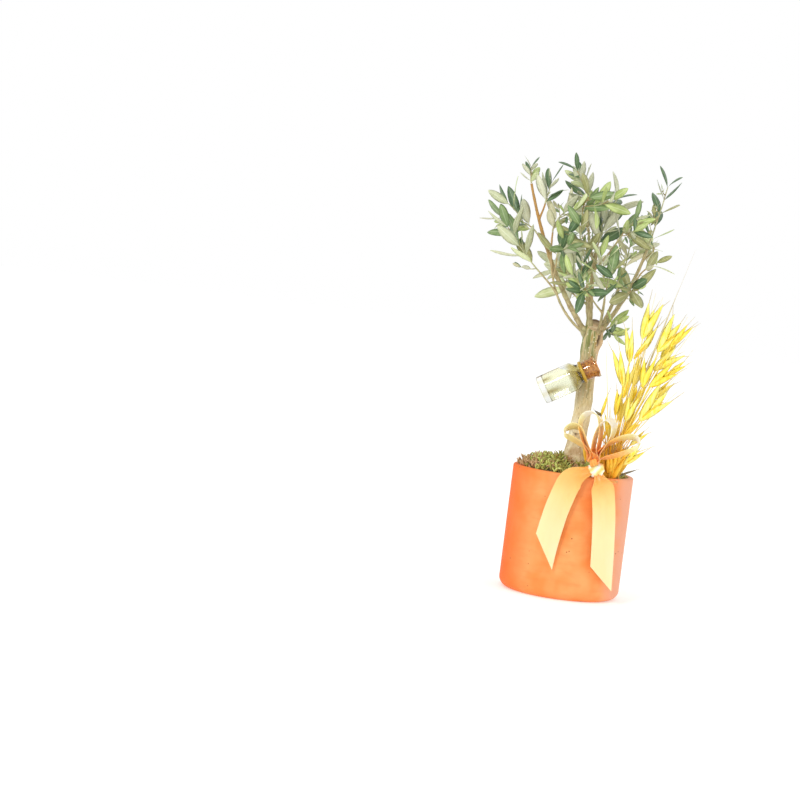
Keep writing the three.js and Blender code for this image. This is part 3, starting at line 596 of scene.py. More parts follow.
def build_pot(material):
    radius, height = POT["radius"], POT["height"]
    foot, rim = POT["foot_round"], POT["rim_round"]
    floor, low, middle = POT_INSIDE.values()
    inner = radius - POT["wall"]
    foot_curve = corner(radius - foot, foot, foot, -90, 0, 14)
    rim_curve = corner(radius - rim, height - rim, rim, 0, 90, 6)
    lip = [(inner + 0.8, height), (inner + 0.25, height - 0.2), (inner, height - 0.8)]
    profile = [
        (middle, 0), *foot_curve, *line_between(foot_curve[-1], rim_curve[0], 60), *rim_curve, *lip,
        *line_between(lip[-1], (inner, low), 12), (inner, low), (inner, floor), (middle, floor),
    ]

    def hand_made(angle, r, z):
        spot = Vector((cos(angle), sin(angle), z / 40))
        swell = 0.22 * noise(1.4 * spot) + 0.08 * noise(6 * spot)
        grown = r + swell * smooth_step(r, 45, 52) * smooth_step(z, 2, 12)
        dip = 0.25 * noise(2.5 * spot + Vector((9, 0, 0))) * smooth_step(z, 110, 115)
        return min(grown, radius), min(z + dip, height)

    shell = Shell()
    shell.add_rings(lathe_rings(profile, SIDES["pot"], hand_made))
    settle(shell.to_piece("clay_pot", [material]), ["pot"])


def moss_top(x, y):
    """The moss is piled up round the trunk and thicker on the left, and its top is tufted"""
    from_trunk = hypot(x, y)
    leftward = smooth_step(-x, -5, 30) - 0.3 * smooth_step(-x, 34, 48)
    pile = 16 * exp(-max(0, from_trunk - 12) / 9)
    tufts = 0.9 * sin(x * 0.55) * cos(y * 0.48) + 0.6 * sin(x * 0.23 + y * 0.9)
    return SOIL_TOP + 4 + 7 * leftward + pile * (0.6 + 0.4 * leftward) + tufts


def moss_mound():
    """The carpet under the tufts"""
    radius = POT["radius"] - POT["wall"] - 0.3
    floor = SOIL_TOP + CLEAR
    profile = [(10, floor), (radius, floor)] + [(radius * i / 24, floor + 1) for i in range(24, 0, -1)]

    def heaped(angle, r, z):
        if z < floor + 0.5:
            return r, z
        x, y = r * cos(angle), r * sin(angle)
        lumps = 1.4 * noise(Vector((x, y, 0)) / 7) + 0.7 * noise(Vector((x, y, 5)) / 2.8)
        return r, moss_top(x, y) - 1.2 + lumps - 2.2 * smooth_step(r, radius - 8, radius)

    shell = Shell()
    shell.add_rings(lathe_rings(profile, SIDES["mound"], heaped))
    return shell


# How thick a strand of moss is along its length
STRAND_RADII = (0.45, 0.62, 0.7, 0.68, 0.5, 0.2)


def moss_sprig(seed):
    """A few strands that curl as they dry"""
    dice = Dice(seed)
    shell = Shell()
    for _ in range(3):
        lean = dice.roll(0.15, 1.1)
        out = around(dice.roll(0, 2 * pi))
        aside = Vector((-out.y, out.x, 0))
        end = blend(UP, out, lean) * dice.roll(4, 8)
        bow = out * dice.roll(-1.5, 1) + aside * dice.roll(-3.2, 3.2) + UP * dice.roll(0, 2.6)
        path = bowed(Vector(), end, bow).points(len(STRAND_RADII) - 1)
        shell.add_rings(tube_rings(path, lambda i, angle: STRAND_RADII[i], SIDES["strand"]))
    return shell.to_mesh("moss_sprig")


# Trunk and limbs

TRUNK_LINE = [Vector(p) for p in (
    (0, 0, 104.3), (-0.8, 0, 140), (1, 0, 170), (0.6, 0, 200), (1, 0, 232), (3.4, 0, 258),
)]
TRUNK_TABLE = [spline(TRUNK_LINE, t) for t in shares(200)]
CUT_FACING = Vector((0.1, -0.5, 0.86)).normalized()
CUT_PLACE = Vector((3, 0, TRUNK["top"]))
TOP_RADIUS = 9
SCAR = {"angle": -1.74, "height": 154.5, "radius": 4.8}
# Millimetres round the trunk for each radian
PER_TURN = 8
# Each knob's angle, height, rise and spread
KNOBS = [
    (-0.6, 181, 1, 4.5), (2.6, 196, 1.1, 5), (3.7, 226, 1.4, 6), (1.2, 162, 1, 5), (-2.3, 128, 1.2, 6),
    (-0.2, 236, 1.8, 6), (-2.1, 208, 0.7, 4),
]
SPLIT = {"angle": -0.72, "height": 240, "deep": 3.2, "across": 0.21, "tall": 8}
# Dark pores round the scar: how far round the trunk and up from its middle, in mm
PORES = [(-1.2, 1.2), (1.6, -1.4), (-0.4, -5.5)]


def trunk_centre(z):
    return np.interp(z, [p.z for p in TRUNK_TABLE], [p.x for p in TRUNK_TABLE])


def trunk_radius(z):
    flare = TRUNK["flare"] * exp(-(z - TRUNK["foot"]) / TRUNK["flare_fade"])
    swelling = FORK["swell"] * exp(-(((z - FORK["height"]) / FORK["spread"]) ** 2))
    return TRUNK["radius"] + flare + swelling


def turn_between(a, b):
    """The signed turn from b to a"""
    return (a - b + pi) % (2 * pi) - pi


def bark_relief(angle, z):
    """How far the bark stands in or out at a place on the trunk, and how deep in a cleft it is"""
    x, y = 2.2 * cos(angle), 2.2 * sin(angle)
    lobes = 1.1 * sin(5 * angle + 0.6) * exp(-(z - TRUNK["foot"]) / 15)
    swell = 0.7 * noise(Vector((x * 0.5, y * 0.5, z / 22)))
    plates = 0.32 * noise(Vector((x * 1.3, y * 1.3, z / 7)))
    open_here = smooth_step(noise(Vector((x, y, z / 25 + 7))), 0.05, 0.5)
    cleft = 0.55 * ridge(x * 1.1, y * 1.1, z / 20) * open_here
    fine = 0.14 * noise(Vector((x * 5, y * 5, z / 2)))
    out = lobes + swell + plates + fine - 0.5 * cleft
    for knob_angle, height, rise, spread in KNOBS:
        away = hypot(turn_between(angle, knob_angle) * PER_TURN, z - height)
        out += rise * exp(-((away / spread) ** 2))
    round_scar = turn_between(angle, SCAR["angle"]) * PER_TURN
    away = hypot(round_scar, z - SCAR["height"])
    rim = exp(-(((away - SCAR["radius"]) / 0.9) ** 2))
    out += 0.8 * rim
    cleft += (0.5 - cleft) * rim - (0.9 + cleft) * exp(-((away / SCAR["radius"]) ** 8)) * (1 - rim)
    for aside, above in PORES:
        off = hypot(round_scar - aside, z - SCAR["height"] - above)
        cleft += (0.95 - cleft) * exp(-((off / 0.9) ** 2))
    tall = (z - SPLIT["height"]) / SPLIT["tall"]
    wide = turn_between(angle, SPLIT["angle"] + 0.03 * sin(z)) / SPLIT["across"]
    split = exp(-((tall * tall + wide * wide) ** 2))
    return out - SPLIT["deep"] * split, max(cleft, split)


def build_trunk(bark, wood):
    steps = 200
    rings = [[] for _ in range(steps + 1)]
    marks = [[] for _ in range(steps + 1)]
    for angle in angles_round(SIDES["trunk"]):
        edge = Vector((trunk_centre(TRUNK["top"]), 0, 0))
        edge += TOP_RADIUS * around(angle) - CUT_PLACE
        top = -(CUT_FACING.x * edge.x + CUT_FACING.y * edge.y) / CUT_FACING.z + TRUNK["top"]
        for i in range(steps + 1):
            z = TRUNK["foot"] + (top - TRUNK["foot"]) * i / steps
            relief, cleft = bark_relief(angle, z)
            fade = 1 - 0.6 * smooth_step(z, top - 3, top)
            reach = trunk_radius(z) + relief * fade - 0.8 * smooth_step(z, top - 1.2, top)
            rings[i].append(Vector((trunk_centre(z) + reach * cos(angle), reach * sin(angle), z)))
            marks[i].append(min(1.0, cleft))
    shell = Shell()
    girth = 2 * pi * TOP_RADIUS
    shell.add_rings(rings, girth, TRUNK["top"] - TRUNK["foot"], marks, ends=(True, False))
    middle = sum(rings[-1], Vector()) / SIDES["trunk"]
    face = []
    for share in (1, 0.86, 0.6, 0.35, 0.12):
        sunk = 0.7 * (1 - share ** 4) + 0.35 * sin(9 * share)
        face.append([middle.lerp(point, share) - CUT_FACING * sunk * (share < 1) for point in rings[-1]])
    shell.add_rings(face, parts=1, ends=(False, True))
    settle(shell.to_piece("trunk_bark", [bark, wood]), ["trunk"])


# Each limb leaves the trunk at a root point, or the limb it is on at a share of that limb's length
LIMB_ROWS = [
    ("bough_left", (-4, 0, 241), (-72, -11, 373), (-9, 1, -15), 5.6, 2.2),
    ("bough_outer", (-6, -4, 242), (-47, -11, 331), (-20, -3, -21), 2.6, 1.6),
    ("bough_centre", (-2, 1, 244), (-5, 3, 317), (-3, 0, 1), 5.8, 3.8),
    ("bough_right", (7, 4, 245), (41, 4, 326), (6, 0, -7), 4.8, 2.6),
    ("bough_back", (0, 5, 244), (-10, 38, 300), (-4, 8, -6), 4.6, 2.4),
    ("bough_back_right", (6, 6, 245), (22, 42, 298), (2, 8, -6), 4.2, 2.4),
    ("bough_front", (6, -5, 244), (8, -26, 276), (1, -6, -4), 3.2, 2),
    ("branch_top", ("bough_centre", 0.86), (-16, 2, 350), (-4, 1, -3), 3, 1.8),
    ("branch_centre", ("bough_centre", 0.78), (14, -7, 332), (1, -1, -3), 2.4, 1.6),
    ("twig_far_left", ("bough_outer", 0.5), (-54, -16, 293), (1, -1, 0), 1.9, 1.5),
    ("twig_left", ("bough_left", 0.63), (-61, -3, 328), (0, 1, -1), 2.2, 1.6),
    ("twig_upper_left", ("bough_left", 0.8), (-57, -16, 356), (1, -1, 0), 2, 1.5),
    ("twig_mid_left", ("bough_outer", 0.64), (-40, -18, 308), (1, -1, 0), 1.8, 1.4),
    ("twig_low_left", ("bough_left", 0.34), (-27, 7, 288), (0, 0, 0), 2, 1.5),
    ("twig_upper", ("branch_top", 0.72), (-21, -8, 349), (0, -1, -1), 1.8, 1.4),
    ("twig_right", ("bough_right", 0.88), (46, 14, 324), (0, 1, 0), 1.9, 1.5),
    ("twig_right_low", ("bough_right", 0.52), (37, -4, 301), (0, -1, -1), 2, 1.5),
    ("twig_right_lower", ("bough_right", 0.34), (27, -9, 278), (0, -1, -1), 1.9, 1.5),
    ("twig_front_left", ("bough_front", 0.66), (-2, -33, 273), (-1, -1, 0), 1.8, 1.4),
    ("twig_centre_low", ("bough_centre", 0.36), (-13, -6, 277), (0, -1, -1), 2, 1.5),
    ("twig_centre_mid", ("bough_centre", 0.72), (-13, -8, 308), (0, -1, -1), 1.9, 1.5),
    ("twig_back_low", ("bough_back", 0.5), (-24, 30, 279), (0, 1, -1), 2, 1.5),
]


def plan_limbs():
    limbs = {}
    for name, start, tip, bow, thick, thin in LIMB_ROWS:
        root = limbs[start[0]]["path"].at(start[1]) if isinstance(start[0], str) else Vector(start)
        limbs[name] = {"path": bowed(root, Vector(tip), Vector(bow)), "thick": thick, "thin": thin}
    return limbs


def build_limbs(limbs, bark):
    """Each limb with swollen nodes where its leaves once were, and wider where it leaves the wood below"""
    shell = Shell()
    for index, limb in enumerate(limbs.values()):
        thick, thin = limb["thick"], limb["thin"]
        length = limb["path"].span()
        steps = max(12, int(length / 1.1))
        points = limb["path"].points(steps)
        marks = [[] for _ in points]

        def radius_at(i, angle):
            t = i / steps
            along = t * length
            spot = Vector((cos(angle), sin(angle), along / 6 + 11 * index))
            node = exp(-(((along + 5 * index) % 13 - 6.5) / 1.3) ** 2)
            collar = 0.3 * thick * exp(-((along / (1.2 * thick)) ** 2))
            cleft = ridge(1.2 * spot.x, 1.2 * spot.y, along / 10 + 3 * index)
            marks[i].append(0.6 * cleft)
            relief = 0.09 * noise(2.5 * spot) + 0.09 * noise(spot) - 0.05 * cleft
            return (thick + (thin - thick) * t) / 2 * (1 + relief + 0.12 * node) + collar

        rings = tube_rings(points, radius_at, SIDES["limb"])
        shell.add_rings(rings, pi * thick, length, marks)
    settle(shell.to_piece("bough_bark", [bark]), list(limbs))


# The growth rule, as the solids grow

class Dice:
    """A small random number generator, so that every run grows the same tree"""

    def __init__(self, seed):
        self.state = seed * 2654435761 % 2 ** 32

    def roll(self, low, high):
        self.state = (self.state * 1664525 + 1013904223) % 2 ** 32
        return low + (high - low) * self.state / 2 ** 32


def grow_leaf(dice, root, along, outward, size, spread):
    """A leaf leaves its stem between the stem's heading and an outward direction, and its tip curls down"""
    lean = spread + dice.roll(-0.2, 0.2)
    length = size * dice.roll(0.78, 1.16)
    width = length * dice.roll(0.27, 0.34)
    curl = dice.roll(-0.1, 0.38)
    roll = dice.roll(-0.7, 0.7)
    direction = blend(along, outward, lean)
    upper = turned(blend(-outward, along, lean), direction, roll)
    return {
        "root": root, "direction": direction, "upper": upper, "side": direction.cross(upper),
        "length": length, "width": width, "curl": curl,
    }


def grow_pairs(dice, path, pairs, bare, size, spread):
    """Leaves in crossed pairs along a stem, the last pair at its tip"""
    leaves = []
    first = dice.roll(0, pi)
    for k in range(pairs + 1):
        last = k == pairs
        t = 1 if last else bare + (1 - bare) * (k + 0.5) / (pairs + 0.3)
        root = path.at(t)
        along = path.heading(t)
        lower = root - along * LEAF_STAGGER
        outward = turned(side_of(along), along, first + k * pi / 2 + dice.roll(-0.35, 0.35))
        shrunk = size * (1 - 0.3 * max(0, k / pairs - 0.4))
        lean = spread * (0.5 if last else 1 - 0.35 * k / pairs)
        leaves.append(grow_leaf(dice, root, along, outward, shrunk, lean))
        leaves.append(grow_leaf(dice, lower, along, -outward, shrunk, lean))
    return leaves


def grow_shoot(dice, path, t, size, spread, pairs):
    """A side shoot with its leaves"""
    root = path.at(t)
    along = path.heading(t)
    outward = turned(side_of(along), along, dice.roll(0, 2 * pi))
    direction = blend(along, outward, dice.roll(0.5, 0.95))
    reach = size * dice.roll(0.55, 0.95)
    side = bowed(root, root + direction * reach, (outward - along) * 0.1 * reach)
    leaves = grow_pairs(dice, side, pairs, SHOOT["bare"], size * 0.9, spread)
    return {"path": side, "thick": SHOOT["thick"], "thin": SHOOT["thin"], "leaves": leaves}


def grow_mass(mass):
    """A mass is its stem and a few side shoots, each with its leaves"""
    dice = Dice(mass["seed"])
    path, size, spread = mass["path"], mass["size"], mass["spread"]
    leaves = grow_pairs(dice, path, mass["pairs"], mass["bare"], size, spread)
    twigs = [{"path": path, **STEM, "leaves": leaves}]
    for k in range(mass["shoots"]):
        t = 0.15 + 0.6 * (k + dice.roll(0.2, 0.8)) / mass["shoots"]
        twigs.append(grow_shoot(dice, path, t, size, spread, SHOOT["pairs"]))
    return twigs


def midrib(leaf, t):
    sag = leaf["upper"] * leaf["curl"] * leaf["length"] * t * t
    return leaf["root"] + leaf["direction"] * leaf["length"] * t - sag


BEAD_STATIONS = (0.08, 0.2, 0.32, 0.44, 0.56, 0.68, 0.78, 0.86, 0.93, 1)


def leaf_beads(leaf, start=0.0):
    """Balls that stand in for a leaf when the rule asks what is in the way: rows of x, y, z and radius"""
    beads = []
    for t in BEAD_STATIONS:
        half = 0.5 * leaf["width"] * sin(pi * t ** 0.9) ** 0.8 if t < 1 else 0
        if t < start:
            continue
        if half < 1:
            beads.append((*midrib(leaf, t), 0.7))
        else:
            for share in (-0.55, 0, 0.55):
                beads.append((*(midrib(leaf, t) + leaf["side"] * half * share), half / 2))
    return np.array(beads)


def line_beads(line, start=0.0):
    path, thick, thin = line["path"], line["thick"], line["thin"]
    count = max(2, int(path.span() / 2))
    rows = []
    for i, t in enumerate(shares(count)):
        if t >= start:
            rows.append((*path.at(t), (thick + (thin - thick) * i / count) / 2))
    return np.array(rows)


def trunk_beads():
    heights = np.arange(TRUNK["foot"], TRUNK["top"], 3)
    return np.array([(trunk_centre(z), 0, z, trunk_radius(z)) for z in heights])


def in_the_way(beads, taken, gap):
    apart = np.linalg.norm(beads[:, None, :3] - taken[None, :, :3], axis=2)
    return bool((apart - beads[:, None, 3] - taken[None, :, 3] <= gap).any())


def thin_out(twigs, taken):
    """A mass keeps its stem, and leaves out every shoot and leaf that would touch what is already there"""
    kept = twigs[:1]
    for twig in twigs[1:]:
        if not in_the_way(line_beads(twig, SHOOT["tested"]), taken, CLEAR + 0.1):
            kept.append(twig)
    for twig in kept:
        twig["leaves"] = [leaf for leaf in twig["leaves"] if not in_the_way(leaf_beads(leaf), taken, CLEAR)]
    return kept


# Each mass grows from the tip of the limb it is on, or from the trunk. The columns are the tip, the pairs of
# leaves, the bare share of the stem, the leaf's length, how far leaves open, the side shoots and the seed
OPEN, HALF_OPEN, UPRIGHT = 0.95, 0.85, 0.75
MASS_ROWS = [
    ("foliage_far_left", "twig_far_left", (-88, -16, 330), 4, 0.15, 36, HALF_OPEN, 0, 810),
    ("foliage_left", "twig_left", (-92, 4, 340), 3, 0.3, 33, HALF_OPEN, 1, 273),
    ("foliage_top_left", "bough_left", (-74, -13, 388), 3, 0, 18, HALF_OPEN, 0, 596),
    ("foliage_upper_left", "twig_upper_left", (-54, -20, 374), 3, 0, 24, UPRIGHT, 0, 772),
    ("foliage_inner_left", "bough_outer", (-36, -2, 354), 3, 0, 24, HALF_OPEN, 1, 534),
    ("foliage_mid_left", "twig_mid_left", (-32, -34, 330), 3, 0, 25, OPEN, 1, 211),
    ("foliage_low_left", "twig_low_left", (-30, 26, 310), 3, 0, 26, OPEN, 1, 211),
    ("foliage_top", "branch_top", (-32, -2, 390), 4, 0.2, 26, HALF_OPEN, 1, 338),
    ("foliage_upper", "twig_upper", (-18, -26, 366), 3, 0, 32, HALF_OPEN, 1, 96),
    ("foliage_crown", "bough_centre", (8, 18, 370), 5, 0.15, 32, UPRIGHT, 1, 111),
    ("foliage_centre", "branch_centre", (26, -18, 350), 3, 0, 27, HALF_OPEN, 1, 440),
    ("foliage_right_top", "bough_right", (52, -10, 384), 4, 0.1, 28, HALF_OPEN, 0, 16),
    ("foliage_right", "twig_right", (42, 32, 334), 3, 0, 21, HALF_OPEN, 1, 20),
    ("foliage_right_low", "twig_right_low", (50, -14, 314), 2, 0.3, 24, HALF_OPEN, 0, 318),
    ("foliage_right_lower", "twig_right_lower", (30, -40, 288), 3, 0, 32, OPEN, 1, 297),
    ("foliage_stub", None, (20, -16, 254), 3, 0.1, 22, OPEN, 1, 207),
    ("foliage_front", "bough_front", (12, -44, 302), 2, 0, 32, UPRIGHT, 1, 859),
    ("foliage_front_left", "twig_front_left", (-22, -56, 292), 3, 0, 26, HALF_OPEN, 1, 634),
    ("foliage_centre_low", "twig_centre_low", (-28, -24, 296), 3, 0, 24, OPEN, 1, 163),
    ("foliage_centre_mid", "twig_centre_mid", (-22, -46, 338), 3, 0, 25, HALF_OPEN, 1, 141),
    ("foliage_back_left", "bough_back", (-26, 56, 342), 4, 0, 28, OPEN, 1, 242),
    ("foliage_back_right", "bough_back_right", (26, 58, 334), 4, 0, 26, OPEN, 1, 962),
    ("foliage_back_low", "twig_back_low", (-26, 58, 292), 3, 0, 28, OPEN, 1, 523),
]
STUB_ROOT, STUB_HEADING = Vector((9.5, -5, 246)), Vector((0.75, -0.45, 0.5)).normalized()


def plan_masses(limbs):
    masses = []
    for name, limb_name, tip, pairs, bare, size, spread, shoots, seed in MASS_ROWS:
        if limb_name:
            limb = limbs[limb_name]["path"]
            along = limb.heading(1)
            root = limb.end + along * CLEAR
        else:
            along, root = STUB_HEADING, STUB_ROOT
        tip = Vector(tip)
        path = Arc(root, root + along * 0.4 * (tip - root).length, tip)
        masses.append({
            "name": name, "path": path, "pairs": pairs, "bare": bare, "size": size, "spread": spread,
            "shoots": shoots, "seed": seed, **STEM,
        })
    return masses


# Finer twigs that the solids leave out: short leafy spurs along every stem
SPUR = {"apart": 11, "leaf": 0.42, "pairs": 2}
SPUR_STEM = {"thick": 0.95, "thin": 0.6}


def grow_spurs(mass, twigs, taken, low, high):
    """Short spurs with small leaves, kept inside the reach of the mass's own solid"""
    dice = Dice(mass["seed"] + SEEDS["spurs"])
    own = [leaf_beads(leaf, 0.3) for twig in twigs for leaf in twig["leaves"]]
    occupied = np.vstack([taken, *own])
    spurs = []
    for twig in list(twigs):
        length = twig["path"].span()
        for k in range(int(length / SPUR["apart"])):
            t = (k + dice.roll(0.3, 0.9)) * SPUR["apart"] / length
            size = mass["size"] * SPUR["leaf"] * dice.roll(0.8, 1.3)
            spur = grow_shoot(dice, twig["path"], min(t, 0.96), size, mass["spread"], SPUR["pairs"])
            spur.update(SPUR_STEM)
            if in_the_way(line_beads({**spur, "thick": 0.7, "thin": 0.5}, 0.4), occupied, 0):
                continue
            kept = []
            for leaf in spur["leaves"]:
                beads = leaf_beads(leaf, 0.3)
                inside = all((beads[:, axis] > low[axis]).all() and (beads[:, axis] < high[axis]).all()
                             for axis in range(3))
                if inside and not in_the_way(beads, occupied, 0.1):
                    kept.append(leaf)
                    occupied = np.vstack([occupied, beads])
            spur["leaves"] = kept
            if kept:
                spurs.append(spur)
    return spurs


def grow_crown(limbs):
    """Every twig of the crown with its leaves, mass by mass"""
    masses = plan_masses(limbs)
    stems = [line_beads(mass) for mass in masses]
    ears = [{"path": path, "thick": EAR_WIDTH, "thin": EAR_WIDTH} for path in stalk_paths()]
    taken = [trunk_beads(), *(line_beads(line) for line in (*ears, *limbs.values()))]
    crown = []
    for i, mass in enumerate(masses):
        others = np.vstack(taken + stems[:i] + stems[i + 1:])
        twigs = thin_out(grow_mass(mass), others)
        for twig in twigs:
            taken.append(line_beads(twig))
            taken.extend(leaf_beads(leaf) for leaf in twig["leaves"])
        crown.append((mass, twigs, others))
    everything = np.vstack(taken)
    grown = []
    for mass, twigs, others in crown:
        low, high = (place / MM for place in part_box(mass["name"]))
        grown.extend(twigs)
        grown.extend(grow_spurs(mass, twigs, np.vstack([others, everything]), low, high))
    return grown


# Geometry Nodes

def new_tree(name, inputs):
    """A tree that takes a geometry and named sizes"""
    tree = bpy.data.node_groups.new(name, "GeometryNodeTree")
    tree.interface.new_socket(name="Geometry", in_out="INPUT", socket_type="NodeSocketGeometry")
    for label, value in inputs.items():
        kind = "NodeSocketInt" if isinstance(value, int) else "NodeSocketFloat"
        tree.interface.new_socket(name=label, in_out="INPUT", socket_type=kind).default_value = value
    tree.interface.new_socket(name="Geometry", in_out="OUTPUT", socket_type="NodeSocketGeometry")
    return tree, add_node(tree, "NodeGroupInput").outputs


def run_tree(tree, name, source, sizes):
    """Runs the tree on a mesh and returns the result as a plain mesh piece"""
    holder = new_object(name + "_source", source)
    modifier = holder.modifiers.new("growth", "NODES")
    modifier.node_group = tree
    for item in tree.interface.items_tree:
        if item.in_out == "INPUT" and item.name in sizes:
            modifier[item.identifier] = sizes[item.name]
    graph = bpy.context.evaluated_depsgraph_get()
    mesh = bpy.data.meshes.new_from_object(holder.evaluated_get(graph))
    mesh.name = name
    bpy.data.objects.remove(holder)
    return new_object(name, mesh)


def finish_tree(tree, geometry, finishes):
    """Realizes the instances, then gives each tint and part its material: finishes[tint][part]"""
    solid = add_node(tree, "GeometryNodeRealizeInstances", {"Geometry": geometry})
    tint, part = (
        add_node(tree, "GeometryNodeInputNamedAttribute", {"Name": name}, data_type="INT")
        for name in ("tint", "part")
    )
    kind = add_node(tree, "ShaderNodeMath", {
        0: tint, 1: float(len(finishes[0])), 2: part,
    }, operation="MULTIPLY_ADD")
    for index, material in enumerate(m for row in finishes for m in row):
        chosen = add_node(tree, "FunctionNodeCompare", {
            0: kind, 1: float(index), 12: 0.1,
        }, operation="EQUAL")
        solid = add_node(tree, "GeometryNodeSetMaterial", {
            "Geometry": solid, "Selection": chosen, "Material": material,
        })
    add_node(tree, "NodeGroupOutput", {"Geometry": solid})


def shape_store(name, meshes):
    """A collection of shapes for a tree to pick from by number"""
    store = bpy.data.collections.new(name)
    for index, mesh in enumerate(meshes):
        store.objects.link(bpy.data.objects.new(f"{name}_{index:02d}", mesh))
    return store


def place_shapes(tree, points, shapes, **inputs):
    """Sets one of the shapes on each point"""
    picked = add_node(tree, "GeometryNodeCollectionInfo", {
        "Collection": shapes, "Separate Children": True, "Reset Children": True,
    })
    return add_node(tree, "GeometryNodeInstanceOnPoints", {
        "Points": points, "Instance": picked, "Pick Instance": True, **inputs,
    })


def placing_tree(name, shapes, finishes):
    """Sets a shape on every point of a mesh: the point's shape, upper, direction and size say how"""
    tree, given = new_tree(name, {"Size": 1.0})
    upper, direction, size = (
        add_node(tree, "GeometryNodeInputNamedAttribute", {"Name": label}, data_type="FLOAT_VECTOR")
        for label in ("upper", "direction", "size")
    )
    shape = add_node(tree, "GeometryNodeInputNamedAttribute", {"Name": "shape"}, data_type="INT")
    turn = add_node(tree, "FunctionNodeAxesToRotation", {
        "Primary Axis": upper, "Secondary Axis": direction,
    }, primary_axis="Z", secondary_axis="Y")
    scale = add_node(tree, "ShaderNodeVectorMath", {0: size, "Scale": given["Size"]}, operation="SCALE")
    placed = place_shapes(tree, given["Geometry"], shapes, **{
        "Instance Index": shape, "Rotation": turn, "Scale": scale,
    })
    finish_tree(tree, placed, finishes)
    return tree


def point_mesh(name, rows):
    """A mesh of bare points for a placing tree. Sizes are in mm, as the shapes are one metre long"""
    mesh = bpy.data.meshes.new(name)
    mesh.from_pydata([row["root"] * MM for row in rows], [], [])
    for label in ("upper", "direction", "size"):
        values = [number for row in rows for number in row[label]]
        mesh.attributes.new(label, "FLOAT_VECTOR", "POINT").data.foreach_set("vector", values)
    for label in ("shape", "tint"):
        mesh.attributes.new(label, "INT", "POINT").data.foreach_set("value", [row[label] for row in rows])
    return mesh


def grow_stems(name, material, lines, sides):
    """Round stems as one piece. Each line is a list of points and the radius at each"""
    points, edges, radii = [], [], []
    for path, path_radii in lines:
        edges.extend((len(points) + i, len(points) + i + 1) for i in range(len(path) - 1))
        points.extend(point * MM for point in path)
        radii.extend(radius * MM for radius in path_radii)
    mesh = bpy.data.meshes.new(name + "_lines")
    mesh.from_pydata(points, edges, [])
    mesh.attributes.new("radius", "FLOAT", "POINT").data.foreach_set("value", radii)
    sizes = {"Thickness": 1.0, "Sides": sides}
    return run_tree(stem_tree(name, material, sizes), name, mesh, sizes)


def stem_tree(name, material, sizes):
    """Sweeps a ring along each edge of a mesh, as wide as its points say"""
    tree, given = new_tree(name, sizes)
    curves = add_node(tree, "GeometryNodeMeshToCurve", {"Mesh": given["Geometry"]})
    ring = add_node(tree, "GeometryNodeCurvePrimitiveCircle", {"Resolution": given["Sides"], "Radius": 1.0})
    radius = add_node(tree, "GeometryNodeInputNamedAttribute", {"Name": "radius"}, data_type="FLOAT")
    thick = add_node(tree, "ShaderNodeMath", {0: radius, 1: given["Thickness"]}, operation="MULTIPLY")
    stems = add_node(tree, "GeometryNodeCurveToMesh", {
        "Curve": curves, "Profile Curve": ring, "Scale": thick, "Fill Caps": True,
    })
    smooth = add_node(tree, "GeometryNodeSetShadeSmooth", {"Geometry": stems})
    solid = add_node(tree, "GeometryNodeRealizeInstances", {"Geometry": smooth})
    finished = add_node(tree, "GeometryNodeSetMaterial", {"Geometry": solid, "Material": material})
    add_node(tree, "NodeGroupOutput", {"Geometry": finished})
    return tree


# Leaves

LEAF_STATIONS = [
    (0, 0.05), (0.07, 0.07), (0.15, 0.36), (0.27, 0.74), (0.42, 0.97), (0.58, 1), (0.74, 0.87),
    (0.87, 0.6), (0.96, 0.28), (1, 0.05),
]
LEAF_CURLS = (-0.06, 0.02, 0.1, 0.18, 0.26, 0.34)
LEAF_TWISTS = (-0.35, 0.35)
LEAF_THICK = 0.012
# The corners round a blade of a leaf or a husk: front 1 or back -1, and how far across
BLADE = [(1, -1), (1, -0.5), (1, 0), (1, 0.5), (1, 1), (-1, 0.5), (-1, 0), (-1, -0.5)]


def leaf_shape(curl, twist):
    """An olive leaf one unit long and wide: a short stalk, a long oval blade whose margins bend down, a
    groove over its midrib and the rib standing out below. Part 0 is the upper side, part 1 the lower, and
    the mark is high on the midrib"""
    rings = []
    for t, share in LEAF_STATIONS:
        turn = twist * t
        ring = []
        for row, place in BLADE:
            x = 0.5 * share * place
            thick = LEAF_THICK * (0.8 if place else 0.5 if row == 1 else 1.6)
            z = row * thick * 0.5 * (abs(place) < 1) - 0.06 * x * x
            x, z = x * cos(turn), z + x * 0.3 * sin(turn)
            ring.append(Vector((x, t - 0.5 * curl * curl * t ** 3, z - curl * t * t)) / MM)
        rings.append(ring)
    shell = Shell()
    shell.add_rings(rings, marks=[[0, 0, 1, 0, 0, 0, 1, 0]] * len(rings), parts=[0] * 4 + [1] * 4)
    return shell.to_mesh("olive_leaf")


# Each spray takes one of these tints: the name, the upper side's greens and rib, the lower side's, and the
# share of sprays below which it is dealt
LEAF_TINTS = [
    ("deep", ("#466440", "#627E52", "#94A884"), ("#C4C6A8", "#D8DAC0", "#E4E6D0"), 0.33),
    ("mid", ("#6C8852", "#8CA26A", "#B2C198"), ("#C2C8A0", "#D6DAB8", "#E4E8CE"), 0.56),
    ("bright", ("#AABE6C", "#C3D28A", "#D8E2AE"), ("#CCD79C", "#DEE6B8", "#EAF0D0"), 0.8),
    ("olive", ("#96985F", "#B1B07A", "#CCCC9F"), ("#CAC8A0", "#DCD9B8", "#E8E6D0"), 1.0),
]


# One leaf in about three strays from its spray's tint
STRAY = 0.7
# What a draw stays below its top by, so that it can be rounded down to a row's number
SHORT = 0.01


